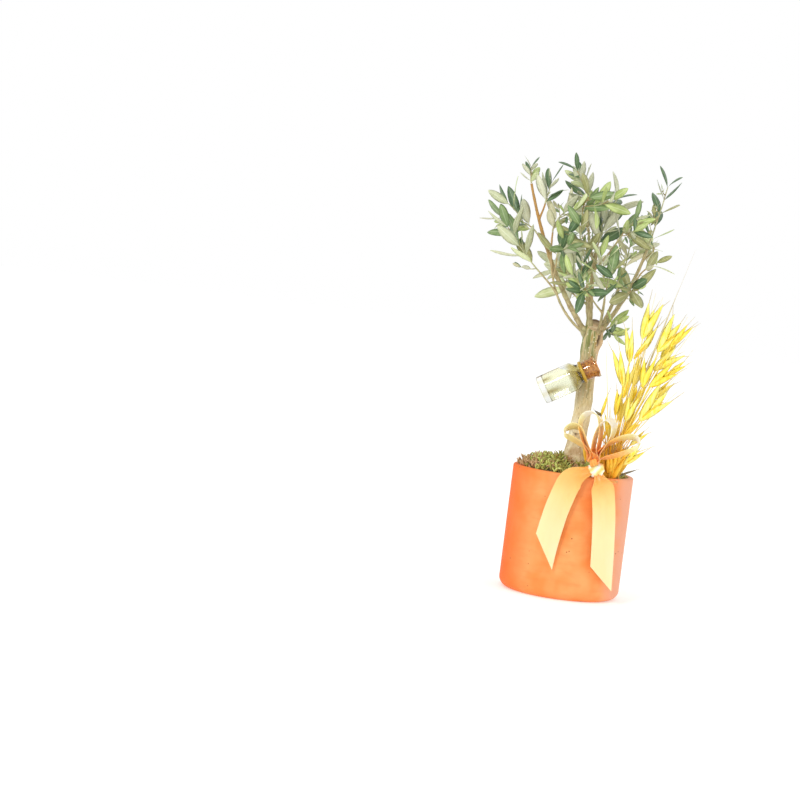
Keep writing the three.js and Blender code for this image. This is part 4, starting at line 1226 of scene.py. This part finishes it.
def deal_tints(twigs):
    dice = Dice(SEEDS["tints"])
    for twig in twigs:
        share = dice.roll(0, 1)
        tint = next(i for i, row in enumerate(LEAF_TINTS) if share <= row[3])
        for leaf in twig["leaves"]:
            stray = dice.roll(0, 1) > STRAY
            leaf["tint"] = int(dice.roll(0, len(LEAF_TINTS) - SHORT)) if stray else tint


def build_leaves(twigs, nodes):
    finishes = []
    for name, upper, lower, _ in LEAF_TINTS:
        finishes.append((
            leaf_surface(f"leaf_{name}_upper", *upper, 0.42),
            leaf_surface(f"leaf_{name}_lower", *lower, 0.75),
        ))
    shapes = shape_store("leaf_shape", [leaf_shape(c, w) for c in LEAF_CURLS for w in LEAF_TWISTS])
    dice = Dice(SEEDS["curls"])
    rows = []
    for leaf in (leaf for twig in twigs for leaf in twig["leaves"]):
        curl = min(range(len(LEAF_CURLS)), key=lambda i: abs(LEAF_CURLS[i] - leaf["curl"]))
        leaf["shape"] = curl * len(LEAF_TWISTS) + int(dice.roll(0, len(LEAF_TWISTS) - SHORT))
        leaf["size"] = (leaf["width"], leaf["length"], leaf["length"])
        rows.append(leaf)
    tree = placing_tree("olive_leaves", shapes, finishes)
    piece = run_tree(tree, "olive_leaves", point_mesh("leaf_points", rows), {"Size": MM})
    settle(piece, nodes)


def build_twigs(twigs, nodes, material):
    """The crown's stems, shoots and spurs, a little swollen and kinked where leaves leave them"""
    dice = Dice(SEEDS["twigs"])
    lines = []
    for twig in twigs:
        count = max(5, int(twig["path"].span() / 2.2))
        points = twig["path"].points(count)
        radii = []
        for i, t in enumerate(shares(count)):
            swell = 1 + 0.22 * (i % 3 == 1)
            radii.append((twig["thick"] + (twig["thin"] - twig["thick"]) * t) / 2 * swell)
            if 0 < i < count:
                points[i] = points[i] + Vector([dice.roll(-0.16, 0.16) for _ in range(3)])
        lines.append((points, radii))
    settle(grow_stems("olive_twigs", material, lines, SIDES["twig"]), nodes)


# Moss

SPRIGS = 6
MOSS_SIZES = {"Tufts per square metre": 6.5e4, "Size": 1.2, "Seed": SEEDS["moss"]}


def moss_tint(tree):
    """The tint changes in clumps about 8 mm across, and is mostly brown near the left rim"""
    place = add_node(tree, "GeometryNodeInputPosition")
    clumps = add_node(tree, "ShaderNodeTexNoise", {"Vector": place, "Scale": per_metre(8), "Detail": 2.0})
    tint = add_node(tree, "ShaderNodeMapRange", {0: clumps, 1: 0.38, 2: 0.6, 3: -0.2, 4: 2.7})
    leftward = add_node(tree, "ShaderNodeSeparateXYZ", {"Vector": place})
    dried = add_node(tree, "ShaderNodeMapRange", {0: leftward, 1: -0.028, 2: -0.044, 4: 1.6})
    summed = add_node(tree, "ShaderNodeMath", {0: tint, 1: dried}, operation="ADD")
    return add_node(tree, "ShaderNodeMath", {0: summed, 1: 2.2}, operation="MINIMUM")


def moss_tree(sprigs, tints):
    """Sets sprigs of different sizes all over the ground that faces up"""
    tree, given = new_tree("moss_tufts", MOSS_SIZES)
    normal = add_node(tree, "GeometryNodeInputNormal")
    rise = add_node(tree, "ShaderNodeSeparateXYZ", {"Vector": normal}).outputs["Z"]
    upward = add_node(tree, "FunctionNodeCompare", {0: rise, 1: 0.2}, operation="GREATER_THAN")
    scattered = add_node(tree, "GeometryNodeDistributePointsOnFaces", {
        "Mesh": given["Geometry"], "Selection": upward, "Density": given["Tufts per square metre"],
        "Seed": given["Seed"],
    })
    spin = add_node(tree, "FunctionNodeRandomValue", {0: (-0.4, -0.4, 0), 1: (0.4, 0.4, 6.28), 8: 5},
                    data_type="FLOAT_VECTOR")
    choice = add_node(tree, "FunctionNodeRandomValue", {4: 0, 5: SPRIGS - 1, 8: 6}, data_type="INT")
    grown = add_node(tree, "FunctionNodeRandomValue", {2: 0.6, 3: 1.15, 8: 7}, data_type="FLOAT")
    placed = place_shapes(tree, scattered, sprigs, **{
        "Instance Index": choice, "Rotation": add_node(tree, "FunctionNodeEulerToRotation", {"Euler": spin}),
        "Scale": add_node(tree, "ShaderNodeMath", {0: grown, 1: given["Size"]}, operation="MULTIPLY"),
    })
    marked = add_node(tree, "GeometryNodeStoreNamedAttribute", {
        "Geometry": placed, "Name": "tint", "Value": moss_tint(tree),
    }, data_type="INT", domain="INSTANCE")
    finish_tree(tree, marked, [(material,) for material in tints])
    return tree


def build_moss():
    mound = moss_mound()
    settle(mound.to_piece("moss_mound", [moss_strand("moss_mat", "#4A3A1E", "#6F6234")]), ["moss"])
    sprigs = shape_store("moss_sprig", [moss_sprig(SEEDS["sprigs"] + k) for k in range(SPRIGS)])
    tree = moss_tree(sprigs, [
        moss_strand("moss_bright", "#B3C258", "#DCE48C"), moss_strand("moss_olive", "#90893C", "#B8B45C"),
        moss_strand("moss_brown", "#A87F50", "#D6B488"),
    ])
    settle(run_tree(tree, "moss_tufts", mound.to_mesh("moss_ground"), MOSS_SIZES), ["moss"])


# Bottle

GLASS = {"body": 13.3, "wall": 1.6, "foot_round": 2, "shoulder": 32, "neck_foot": 40, "neck": 8.8,
         "lip": 10.3, "length": 56.5}
BORE = {"radius": 7, "floor": 5.5}
COLLAR = {"foot": 40.4, "height": 3, "outer": 10.5}
CORK = {"foot": 42, "top": 57}
# How far a filling reaches into the glass, so that no film of air shows between them
PRESSED = 0.05
# The heights between which glass and oil take their painted shade, a dark band up the shoulder
SHADED = {"from": 28, "to": 34}
# Olive streaks up the side, painted dark reflections: each one's angle and half breadth, the heights where
# it starts and ends to fade, and its depth. One whose first height is the upper one fades downwards
STREAKS = [(-1.25, 0.22, 8, 27, 1.0), (-2.25, 0.18, 8, 17, 0.9), (-1.95, 0.14, 30, 20, 0.6)]


def shoulder(from_radius, to_radius, from_height, to_height, count):
    """Profile points down an S-shaped curve"""
    points = []
    for t in shares(count):
        drop = (1 - cos(pi * t)) / 2
        radius = from_radius + (to_radius - from_radius) * drop
        points.append((radius, from_height + (to_height - from_height) * t))
    return points


def bottle_inside(shrink):
    body = GLASS["body"] - GLASS["wall"] - shrink
    return [
        (1, BORE["floor"] + shrink + 0.6), (body * 0.6, BORE["floor"] + shrink),
        *corner(body - 2, BORE["floor"] + 2 + shrink, 2, -90, 0, 6),
        *line_between((body, BORE["floor"] + 2), (body, SHADED["from"]), 9), (body, SHADED["from"]),
        *shoulder(body, BORE["radius"] - shrink, GLASS["shoulder"], GLASS["neck_foot"], 14),
    ]


def lay_bottle(rings):
    """Lays turned rings along the bottle's axis"""
    turn = UP.rotation_difference(BOTTLE_AXIS)
    return [[turn @ point + BOTTLE_FOOT for point in ring] for ring in rings]


def shade_at(angle, height):
    """How much painted shade the bottle takes at a place: up its shoulder, and along the streaks of painted
    reflection
    """
    # painted shade: a dark band up the shoulder
    shade = smooth_step(height, SHADED["from"], SHADED["to"])
    # painted reflections: dark streaks along the side
    for place, breadth, low, high, depth in STREAKS:
        aside = turn_between(angle, place) / breadth
        shade = max(shade, depth * exp(-aside * aside) * (1 - smooth_step(height, low, high)))
    return shade


def bottle_piece(node, profile, material, ends=(True, True)):
    """A turned piece, marked where painted shade deepens its colour"""
    angles = angles_round(SIDES["bottle"])
    marks = [[shade_at(angle, height) for angle in angles] for _, height in profile]
    shell = Shell()
    shell.add_rings(lay_bottle(lathe_rings(profile, SIDES["bottle"])), marks=marks, ends=ends)
    piece = shell.to_piece("shown_" + node, [material], sharp=60)
    settle(piece, [node])
    return piece


def slice_piece(piece, place, facing):
    """Cuts off what lies on the side that a plane faces, and closes the cut"""
    mesh = bmesh.new()
    mesh.from_mesh(piece.data)
    everything = mesh.verts[:] + mesh.edges[:] + mesh.faces[:]
    sliced = bmesh.ops.bisect_plane(
        mesh, geom=everything, plane_co=place * MM, plane_no=facing, clear_outer=True,
    )
    rim = [item for item in sliced["geom_cut"] if isinstance(item, bmesh.types.BMEdge)]
    bmesh.ops.edgeloop_fill(mesh, edges=rim)
    mesh.to_mesh(piece.data)
    mesh.free()


def build_bottle():
    length, lip, neck = GLASS["length"], GLASS["lip"], GLASS["neck"]
    glass = [
        (2, 0.5), (GLASS["body"] * 0.5, 0.4), (GLASS["body"] - 4, 0),
        *corner(GLASS["body"] - GLASS["foot_round"], GLASS["foot_round"], GLASS["foot_round"], -90, 0, 8),
        (GLASS["body"], SHADED["from"]),
        *shoulder(GLASS["body"], neck, GLASS["shoulder"], GLASS["neck_foot"], 18),
        *shoulder(neck, lip, length - 5.5, length - 1.6, 6),
        *corner(lip - 0.9, length - 0.9, 0.9, 0, 90, 5),
        (BORE["radius"] + 0.6, length), (BORE["radius"], length - 0.8),
        *bottle_inside(0)[::-1],
    ]
    bottle_piece("bottle_glass", glass, clear_liquid("soda_glass", "#FAFCF8", 1.5, "#E6DDB0"))
    filling = [*bottle_inside(-PRESSED), (BORE["radius"], GLASS["neck_foot"] + 1)]
    oil = bottle_piece("bottle_oil", filling, clear_liquid("olive_oil", "#FEFDE6", 1.47, "#86743A"))
    slice_piece(oil, Vector((0, 0, OIL_LEVEL)), UP)
    inner, outer = neck + 0.05, COLLAR["outer"]
    low, high = COLLAR["foot"], COLLAR["foot"] + COLLAR["height"]
    ring = [
        (inner, low), (outer - 1, low), *corner(outer - 1.2, low + 1.5, 1.4, -70, 70, 10),
        (outer - 1, high), (inner, high), (inner, (low + high) / 2), (inner, low),
    ]
    bottle_piece("bottle_collar", ring, golden_lacquer(), ends=(False, False))
    radius = BORE["radius"] + PRESSED
    cork = [
        (1, CORK["foot"]), (radius - 0.8, CORK["foot"]), (radius, CORK["foot"] + 0.8),
        (radius, length - 1.4), (BORE["radius"] - 0.3, length - 0.6), (BORE["radius"] - 0.5, CORK["top"]),
        (1, CORK["top"]),
    ]
    bottle_piece("bottle_cork", cork, amber_cork())


# Bow

# Each loop's lean, reach and breadth, its tilt outwards, its slant and its bend across, how pale its far
# end is with painted sheen, how far the orange reaches from its root, and how much it narrows there
LOOP_ROWS = [
    (-29, 35, 20, 20, 0.15, -10, 0.9, 1.8, 5), (-12, 43, 17, 13, -0.2, 0, 1.4, 6, 1),
    (16, 39, 13, -12, -0.22, 0, 1.6, 2.5, 1), (50, 42.5, 13, 14, -0.28, 7, 1.4, 5, 1),
]
LOOP = {"width": 19, "pinched": 7, "root": Vector((16.6, -57, 131)), "apart": 1}
CLOTH_THICK = 0.4
# The points round a strip: front 0.5 or back -0.5, and how far across
STRIP = [(0.5, k / 4) for k in range(-4, 5)] + [(-0.5, -k / 4) for k in range(-4, 5)]


def ribbon_rings(points, facings, widths, pleats):
    """Flat rings along a ribbon, pleated across where pleats says, in mm of depth"""
    rings = []
    for i, point in enumerate(points):
        ahead = chord(points, i)
        across = ahead.cross(facings[i]).normalized()
        out = across.cross(ahead).normalized()
        ring = []
        for row, share in STRIP:
            lift = pleats[i] * cos(2.5 * pi * share) - 0.5 * share * share
            ring.append(point - across * widths[i] / 2 * share + out * (lift + row * CLOTH_THICK))
        rings.append(ring)
    return rings


def add_loop(shell, row, index):
    """A loop that stands edge on to the front, and is twisted flat to it where it leaves the knot"""
    lean, reach, breadth, tilt, slant, bend, pale, orange, narrow = row
    angle = radians(lean)
    out = Vector((sin(angle), 0, cos(angle)))
    across = Vector((cos(angle), 0, -sin(angle)))
    frontward = Vector((0, -1, 0)) + out * tan(radians(tilt)) + across * slant
    root = LOOP["root"] + Vector((0, LOOP["apart"] * (index - 1.5), 0))
    points, facings, widths, pleats, marks = [], [], [], [], []
    count = 64
    for t in shares(count):
        a = 2 * pi * t
        share = (1 - cos(a)) / 2
        outward = reach * share
        sideways = breadth * 0.65 * sin(a) * max(0, sin(a / 2)) ** narrow + bend * share * share
        sag = 0.9 * sin(3 * a + index) * sin(pi * t) ** 2
        points.append(root + out * (outward + sag) + across * sideways)
        swell = sin(pi * t) ** 0.7 if 0 < t < 1 else 0
        widths.append(LOOP["pinched"] + (LOOP["width"] - LOOP["pinched"]) * swell)
        pleats.append(0.9 * (1 - swell))
        # the far end pales with painted sheen
        marks.append(pale * max(0, sin(pi * t)) ** orange - 0.08)
    for i, t in enumerate(shares(count)):
        flat = 1 - smooth_step(sin(pi * t), 0.05, 0.55)
        breadthways = frontward.lerp(across if t < 0.5 else -across, flat)
        facings.append(breadthways.cross(chord(points, i)).normalized())
    rings = ribbon_rings(points, facings, widths, pleats)
    shell.add_rings(rings, 2 * LOOP["width"], 2.2 * reach, marks)


def add_knot(shell):
    """The short band that is drawn tight over the loops: a pleated barrel, pinched at its ends"""
    centre, size = KNOT["centre"], KNOT["size"]
    rings, marks = [], []
    count = 25
    for i in range(count):
        lean = pi * (i + 0.5) / count
        ring, knot_dye_and_sheen = [], []
        for turn in angles_round(SIDES["knot"]):
            crease = 1 + 0.06 * sin(6 * lean + 1.5 * sin(turn))
            crease += 0.05 * sin(9 * lean + 3 * turn)
            wide = sin(lean)
            flat = Vector((-cos(lean), wide * sin(turn), wide * cos(turn)))
            ring.append(centre + Vector(a * b for a, b in zip(flat, size)) * crease)
            # pale stripes across the knot: part dye, part painted sheen
            knot_dye_and_sheen.append(1.0 + 0.45 * sin(5 * lean + 2 * sin(2 * turn)))
        rings.append(ring)
        marks.append(knot_dye_and_sheen)
    shell.add_rings(rings, 40, 22, marks)


def add_stem(shell):
    """The loops' gathered roots, between the knot and the place where they part"""
    path = [KNOT["centre"].lerp(LOOP["root"], 0.3 + 0.13 * i) for i in range(8)]
    gathers = 7
    pleated = tube_rings(
        path, lambda i, angle: 4.4 - 0.12 * i + 0.35 * sin(gathers * angle), SIDES["knot"],
    )
    shell.add_rings(pleated, 28, 12, [0.12] * len(pleated))


def add_band(shell):
    """The ribbon from the knot round the back of the oats, and twisted to a cord low across their front"""
    height = KNOT["centre"].z
    share = (height - BUNCH["foot"].z) / (BUNCH["top"].z - BUNCH["foot"].z)
    middle = BUNCH["foot"].lerp(BUNCH["top"], share)
    start = KNOT["centre"].copy()
    reach = Vector((middle.x - start.x, middle.y - start.y, 0))
    spare = BUNCH["wide"] / 2 + 1.6
    along = (reach.length + spare) / 2
    centre = start + reach.normalized() * along
    turn = Matrix.Rotation(atan2(reach.y, reach.x), 3, "Z")
    rings = []
    count = 72
    for t in shares(count):
        a = 2 * pi * t
        offset = turn @ Vector((along * cos(a), (spare + 1.5) * sin(a), 0))
        in_front = smooth_step(-sin(a), 0.1, 0.8)
        placed = centre + offset - UP * 10 * in_front
        out = offset.normalized()
        ring = []
        for row, share in STRIP:
            rise = (5 - 3.8 * in_front) * share
            ring.append(placed + UP * rise + out * (0.35 * cos(8.8 * share) + row * CLOTH_THICK))
        rings.append(ring)
    shell.add_rings(rings, RIBBON_WIDTH, 70, [0.2] * len(rings), ends=(False, False))


# Each tail's path, the way its face looks, and the line from corner to corner of its slanted end
TAIL_ROWS = [
    ("bow_tail_left", [(15, -57, 121.5), (0, -62.5, 112), (-8, -63, 92), (-15, -61, 58), (-19, -59, 26)],
     (-0.12, -1, 0), ((-25, 0, 57), (-8.7, 0, 29.5))),
    ("bow_tail_right", [(23, -57, 118.5), (28, -60, 108), (32, -57, 88), (35, -53, 55), (38.5, -50, 8)],
     (0.4, -1, 0), ((26.6, 0, 34.5), (48.7, 0, 13))),
]
TAIL_PINCHED = 9


def build_tail(name, points, facing, cut, material):
    count = 90
    facing = Vector(facing)
    places, widths, pleats, marks = [], [], [], []
    for t in shares(count):
        spread = smooth_step(t, 0, 0.3)
        wave = 0.7 * sin(9 * t + 1) * spread
        places.append(spline([Vector(p) for p in points], t) + facing.normalized() * wave)
        widths.append(TAIL_PINCHED + (RIBBON_WIDTH - TAIL_PINCHED) * spread)
        pleats.append(0.8 * (1 - spread) + 0.12 * spread)
        # orange at the knot, paling down the tail: part dye, part painted sheen
        marks.append(0.1 + 0.95 * smooth_step(t, 0, 0.8))
    shell = Shell()
    rings = ribbon_rings(places, [facing] * (count + 1), widths, pleats)
    shell.add_rings(rings, 2 * RIBBON_WIDTH, 115, marks)
    piece = shell.to_piece("satin_" + name[4:], [material])
    first, second = (Vector(point) for point in cut)
    along = (second - first).normalized()
    slice_piece(piece, first, Vector((along.z, 0, -along.x)))
    settle(piece, [name])


def build_bow():
    material = satin_ribbon()
    shell = Shell()
    for index, row in enumerate(LOOP_ROWS):
        add_loop(shell, row, index)
    add_knot(shell)
    add_stem(shell)
    add_band(shell)
    settle(shell.to_piece("satin_bow", [material]), ["bow"])
    for row in TAIL_ROWS:
        build_tail(*row, material)


# Dried oats

# The tips of the solids' stalks, and how wide their ears are
STALK_TIPS = [
    (53, -36, 287), (60, -30, 284), (84, -36, 269), (72, -26, 263), (93, -40, 262), (93, -32, 240),
    (90, -40, 228), (85, -38, 202), (71, -40, 150), (15, -36, 232), (23, -34, 190), (48, -22, 236),
]
EAR_WIDTH = 7
# How many short straws fill the tied foot of the bunch
STRAWS = 40
# Each spikelet's foot and tip seen from the front, its depth, and how wide its husks open, from 0 to 3
SPIKELET_ROWS = [
    ((46, 244), (55, 279), -37, 2), ((38, 221), (33, 253), -36, 1), ((41, 225), (58, 256), -34, 0),
    ((35, 199), (24, 232), -38, 1), ((36, 188), (41, 221), -33, 1), ((61, 234), (79, 266), -34, 3),
    ((60, 217), (83, 238), -32, 2), ((58, 202), (80, 223), -39, 2), ((52, 200), (56, 229), -36, 2),
    ((53, 170), (75, 203), -41, 3), ((41, 168), (46, 192), -39, 2), ((31, 172), (32, 196), -35, 1),
    ((18, 169), (22, 191), -37, 0), ((22, 147), (27, 164), -35, 0), ((41, 154), (53, 169), -37, 1),
    ((44, 129), (60, 148), -41, 2), ((50, 234), (57, 260), -24, 1), ((66, 225), (76, 252), -24, 2),
    ((44, 200), (50, 228), -22, 2), ((62, 190), (79, 209), -26, 1), ((36, 166), (36, 192), -22, 2),
    ((48, 146), (62, 161), -25, 1), ((28, 150), (24, 172), -24, 1), ((46, 178), (52, 204), -30, 2),
    ((72, 240), (88, 262), -38, 1), ((72, 214), (88, 228), -38, 1),
]
# The husks of a spikelet for each width: how far aside each tip is, its length and its half width
HUSK_ROWS = [
    [(0, 1, 0.065)],
    [(-0.09, 0.93, 0.085), (0.08, 1, 0.085)],
    [(-0.16, 0.9, 0.1), (0.01, 0.8, 0.1), (0.15, 1, 0.1)],
    [(-0.24, 0.84, 0.09), (-0.04, 0.92, 0.11), (0.2, 1, 0.105)],
]
# Dry bits caught among the straw: from, to, breadth and tint
DRY_BITS = [
    ((46, -37, 186), (73, -37, 292), 14, 3), ((43, -34, 119), (57, -38, 126), 14, 2),
    ((19, -38, 170.5), (12, -38, 174.5), 20, 2), ((42, -36, 118), (50, -30, 122), 16, 2),
    ((10, -43, 127), (4.5, -43, 152), 24, 1),
]


def stalk_root(index, share):
    """Where a stalk leaves the tied bunch, at a share of its width from its middle"""
    return BUNCH["foot"].lerp(BUNCH["top"], 0.95) + around(index * GOLDEN_ANGLE) * share * BUNCH["wide"]


def stalk_paths():
    paths = []
    for index, tip in enumerate(STALK_TIPS):
        root, end = stalk_root(index, 0.3), Vector(tip)
        paths.append(bowed(root, end, Vector((-0.04 * (end.x - root.x), 0, 0.05 * (end - root).length))))
    return paths


# How thick an awn is along its length, in thousandths of a spikelet
AWN_RADII = (13, 11, 9, 7, 4)
HUSK_STATIONS = (0, 0.07, 0.18, 0.32, 0.47, 0.62, 0.76, 0.88, 0.96, 1)


def add_husk(shell, aside, length, half, depth, part):
    """A boat-shaped husk drawn out into a point"""
    rings = []
    for t in HUSK_STATIONS:
        wide = 0.008 + half * sin(pi * t ** 0.75) ** 0.9 * (1 - 0.3 * t)
        middle = Vector((aside * t ** 1.15, length * t, depth * sin(pi * t)))
        ring = []
        for row, place in BLADE:
            cup = 0.6 * wide * (1 - place * place)
            ring.append((middle + Vector((wide * place, 0, cup + 0.007 * row * (abs(place) < 1)))) / MM)
        rings.append(ring)
    shell.add_rings(rings, parts=part)


def husk_shape(husks, mirror):
    """A spikelet one unit long. Part 0 is pale husk, part 1 the golden crease and part 2 an awn"""
    shell = Shell()
    for k, (aside, length, half) in enumerate(husks):
        aside *= mirror
        add_husk(shell, aside, length, half, 0.03 * (-1) ** k, 0)
        tip = Vector((aside, length, 0))
        end = tip + Vector((aside * 0.5 + 0.04 * mirror, 0.36 - 0.1 * k, 0.02))
        arc = bowed(tip * 0.9, end, Vector((0, 0, 0.01)))
        path = [point / MM for point in arc.points(len(AWN_RADII) - 1)]
        shell.add_rings(tube_rings(path, lambda i, angle: AWN_RADII[i], SIDES["awn"]), parts=2)
    add_husk(shell, husks[0][0] * 0.5 * mirror, 0.7, 0.022, 0.075, 1)
    return shell.to_mesh("oat_husk")


def spikelet(foot, tip, breadth, shape, tint, roll):
    """A spikelet turned to show its face to the side of the plant that it is on"""
    direction = (tip - foot).normalized()
    view = Vector((0, -1 if foot.y < -30 else 1, 0))
    upper = (view - direction * view.dot(direction)).normalized()
    return {
        "root": foot, "direction": direction, "upper": turned(upper, direction, roll),
        "size": (breadth, (tip - foot).length, breadth), "shape": shape, "tint": tint,
    }


def grow_ears(dice):
    """The spikelets at the front and the back of the bunch, and the stalks up to them and to the ears"""
    rows, lines = [], []
    for index, ((x, z), (tip_x, tip_z), y, width) in enumerate(SPIKELET_ROWS):
        foot, tip = Vector((x, y, z)), Vector((tip_x, y - 1.5, tip_z))
        length = (tip - foot).length
        shape = 2 * width + index % 2
        rows.append(spikelet(foot, tip, 1.1 * length, shape, int(dice.roll(0, 1.5)), dice.roll(-0.4, 0.4)))
        root = stalk_root(index, 0.28)
        path = bowed(root, foot + (tip - foot) * 0.1, Vector((0.05 * (root.x - x), 0, 0.04 * (z - root.z))))
        lines.append((path.points(20), [0.65 - 0.012 * i for i in range(21)]))
    for path in stalk_paths():
        lines.append((path.points(24), [0.5 - 0.017 * i for i in range(25)]))
    return rows, lines


def grow_straws(dice):
    """Short straws in the tied foot of the bunch, and a spikelet on every other one"""
    rows, lines = [], []
    for k in range(STRAWS):
        spot = around(k * GOLDEN_ANGLE) * sqrt((k + 0.5) / STRAWS)
        start = BUNCH["foot"] + spot * BUNCH["narrow"] * 0.46
        top = BUNCH["foot"].lerp(BUNCH["top"], 1.2 + dice.roll(-0.15, 0.3)) + spot * BUNCH["wide"] * 0.5
        lines.append((bowed(start, top, spot).points(6), [0.75] * 7))
        if k % 2 == 0:
            middle = start.lerp(top, dice.roll(0.02, 0.6))
            tip = middle + (top - start).normalized() * dice.roll(20, 27) + spot * 5
            rows.append(spikelet(middle, tip, 32, 2 + k % 4, 1, dice.roll(-0.6, 0.6)))
    return rows, lines


def build_oats():
    straw = dyed_straw("straw_stalk", "#EDC93A", "#FBE980", 0.8)
    pale = dyed_straw("husk_pale", "#FDE642", "#FEF594")
    warm = dyed_straw("husk_warm", "#FAD626", "#FDEC62", 0.8)
    crease = dyed_straw("husk_crease", "#EDB51C", "#F8D740")
    awn = dyed_straw("awn_straw", "#BFAE7C", "#DCCFA0")
    dry = dyed_straw("dry_leaf", "#4E4A34", "#857650")
    dice = Dice(SEEDS["oats"])
    rows, lines = (ears + straws for ears, straws in zip(grow_ears(dice), grow_straws(dice)))
    for start, end, breadth, tint in DRY_BITS:
        rows.append(spikelet(Vector(start), Vector(end), breadth, 0, tint, 0))
    store = shape_store("oat_husk", [husk_shape(husks, side) for husks in HUSK_ROWS for side in (1, -1)])
    finishes = [(pale, crease, awn), (warm, crease, awn), (dry, dry, dry), (awn, awn, awn)]
    tree = placing_tree("oat_husks", store, finishes)
    husks = run_tree(tree, "oat_husks", point_mesh("husk_points", rows), {"Size": MM})
    for piece in (husks, grow_stems("oat_stalks", straw, lines, SIDES["straw"])):
        settle(piece, ["dried_oats"])


# The whole plant

def build_plant():
    build_pot(painted_terracotta())
    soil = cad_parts["soil"]
    soil.data.materials.clear()
    soil.data.materials.append(potting_compost())
    build_moss()
    build_trunk(olive_bark(), sawn_wood())
    limbs = plan_limbs()
    build_limbs(limbs, young_bark())
    twigs = grow_crown(limbs)
    deal_tints(twigs)
    masses = [row[0] for row in MASS_ROWS]
    build_leaves(twigs, masses)
    build_twigs(twigs, masses, green_shoot())
    build_bottle()
    build_bow()
    build_oats()


build_camera()
build_studio()
build_floor()
build_plant()
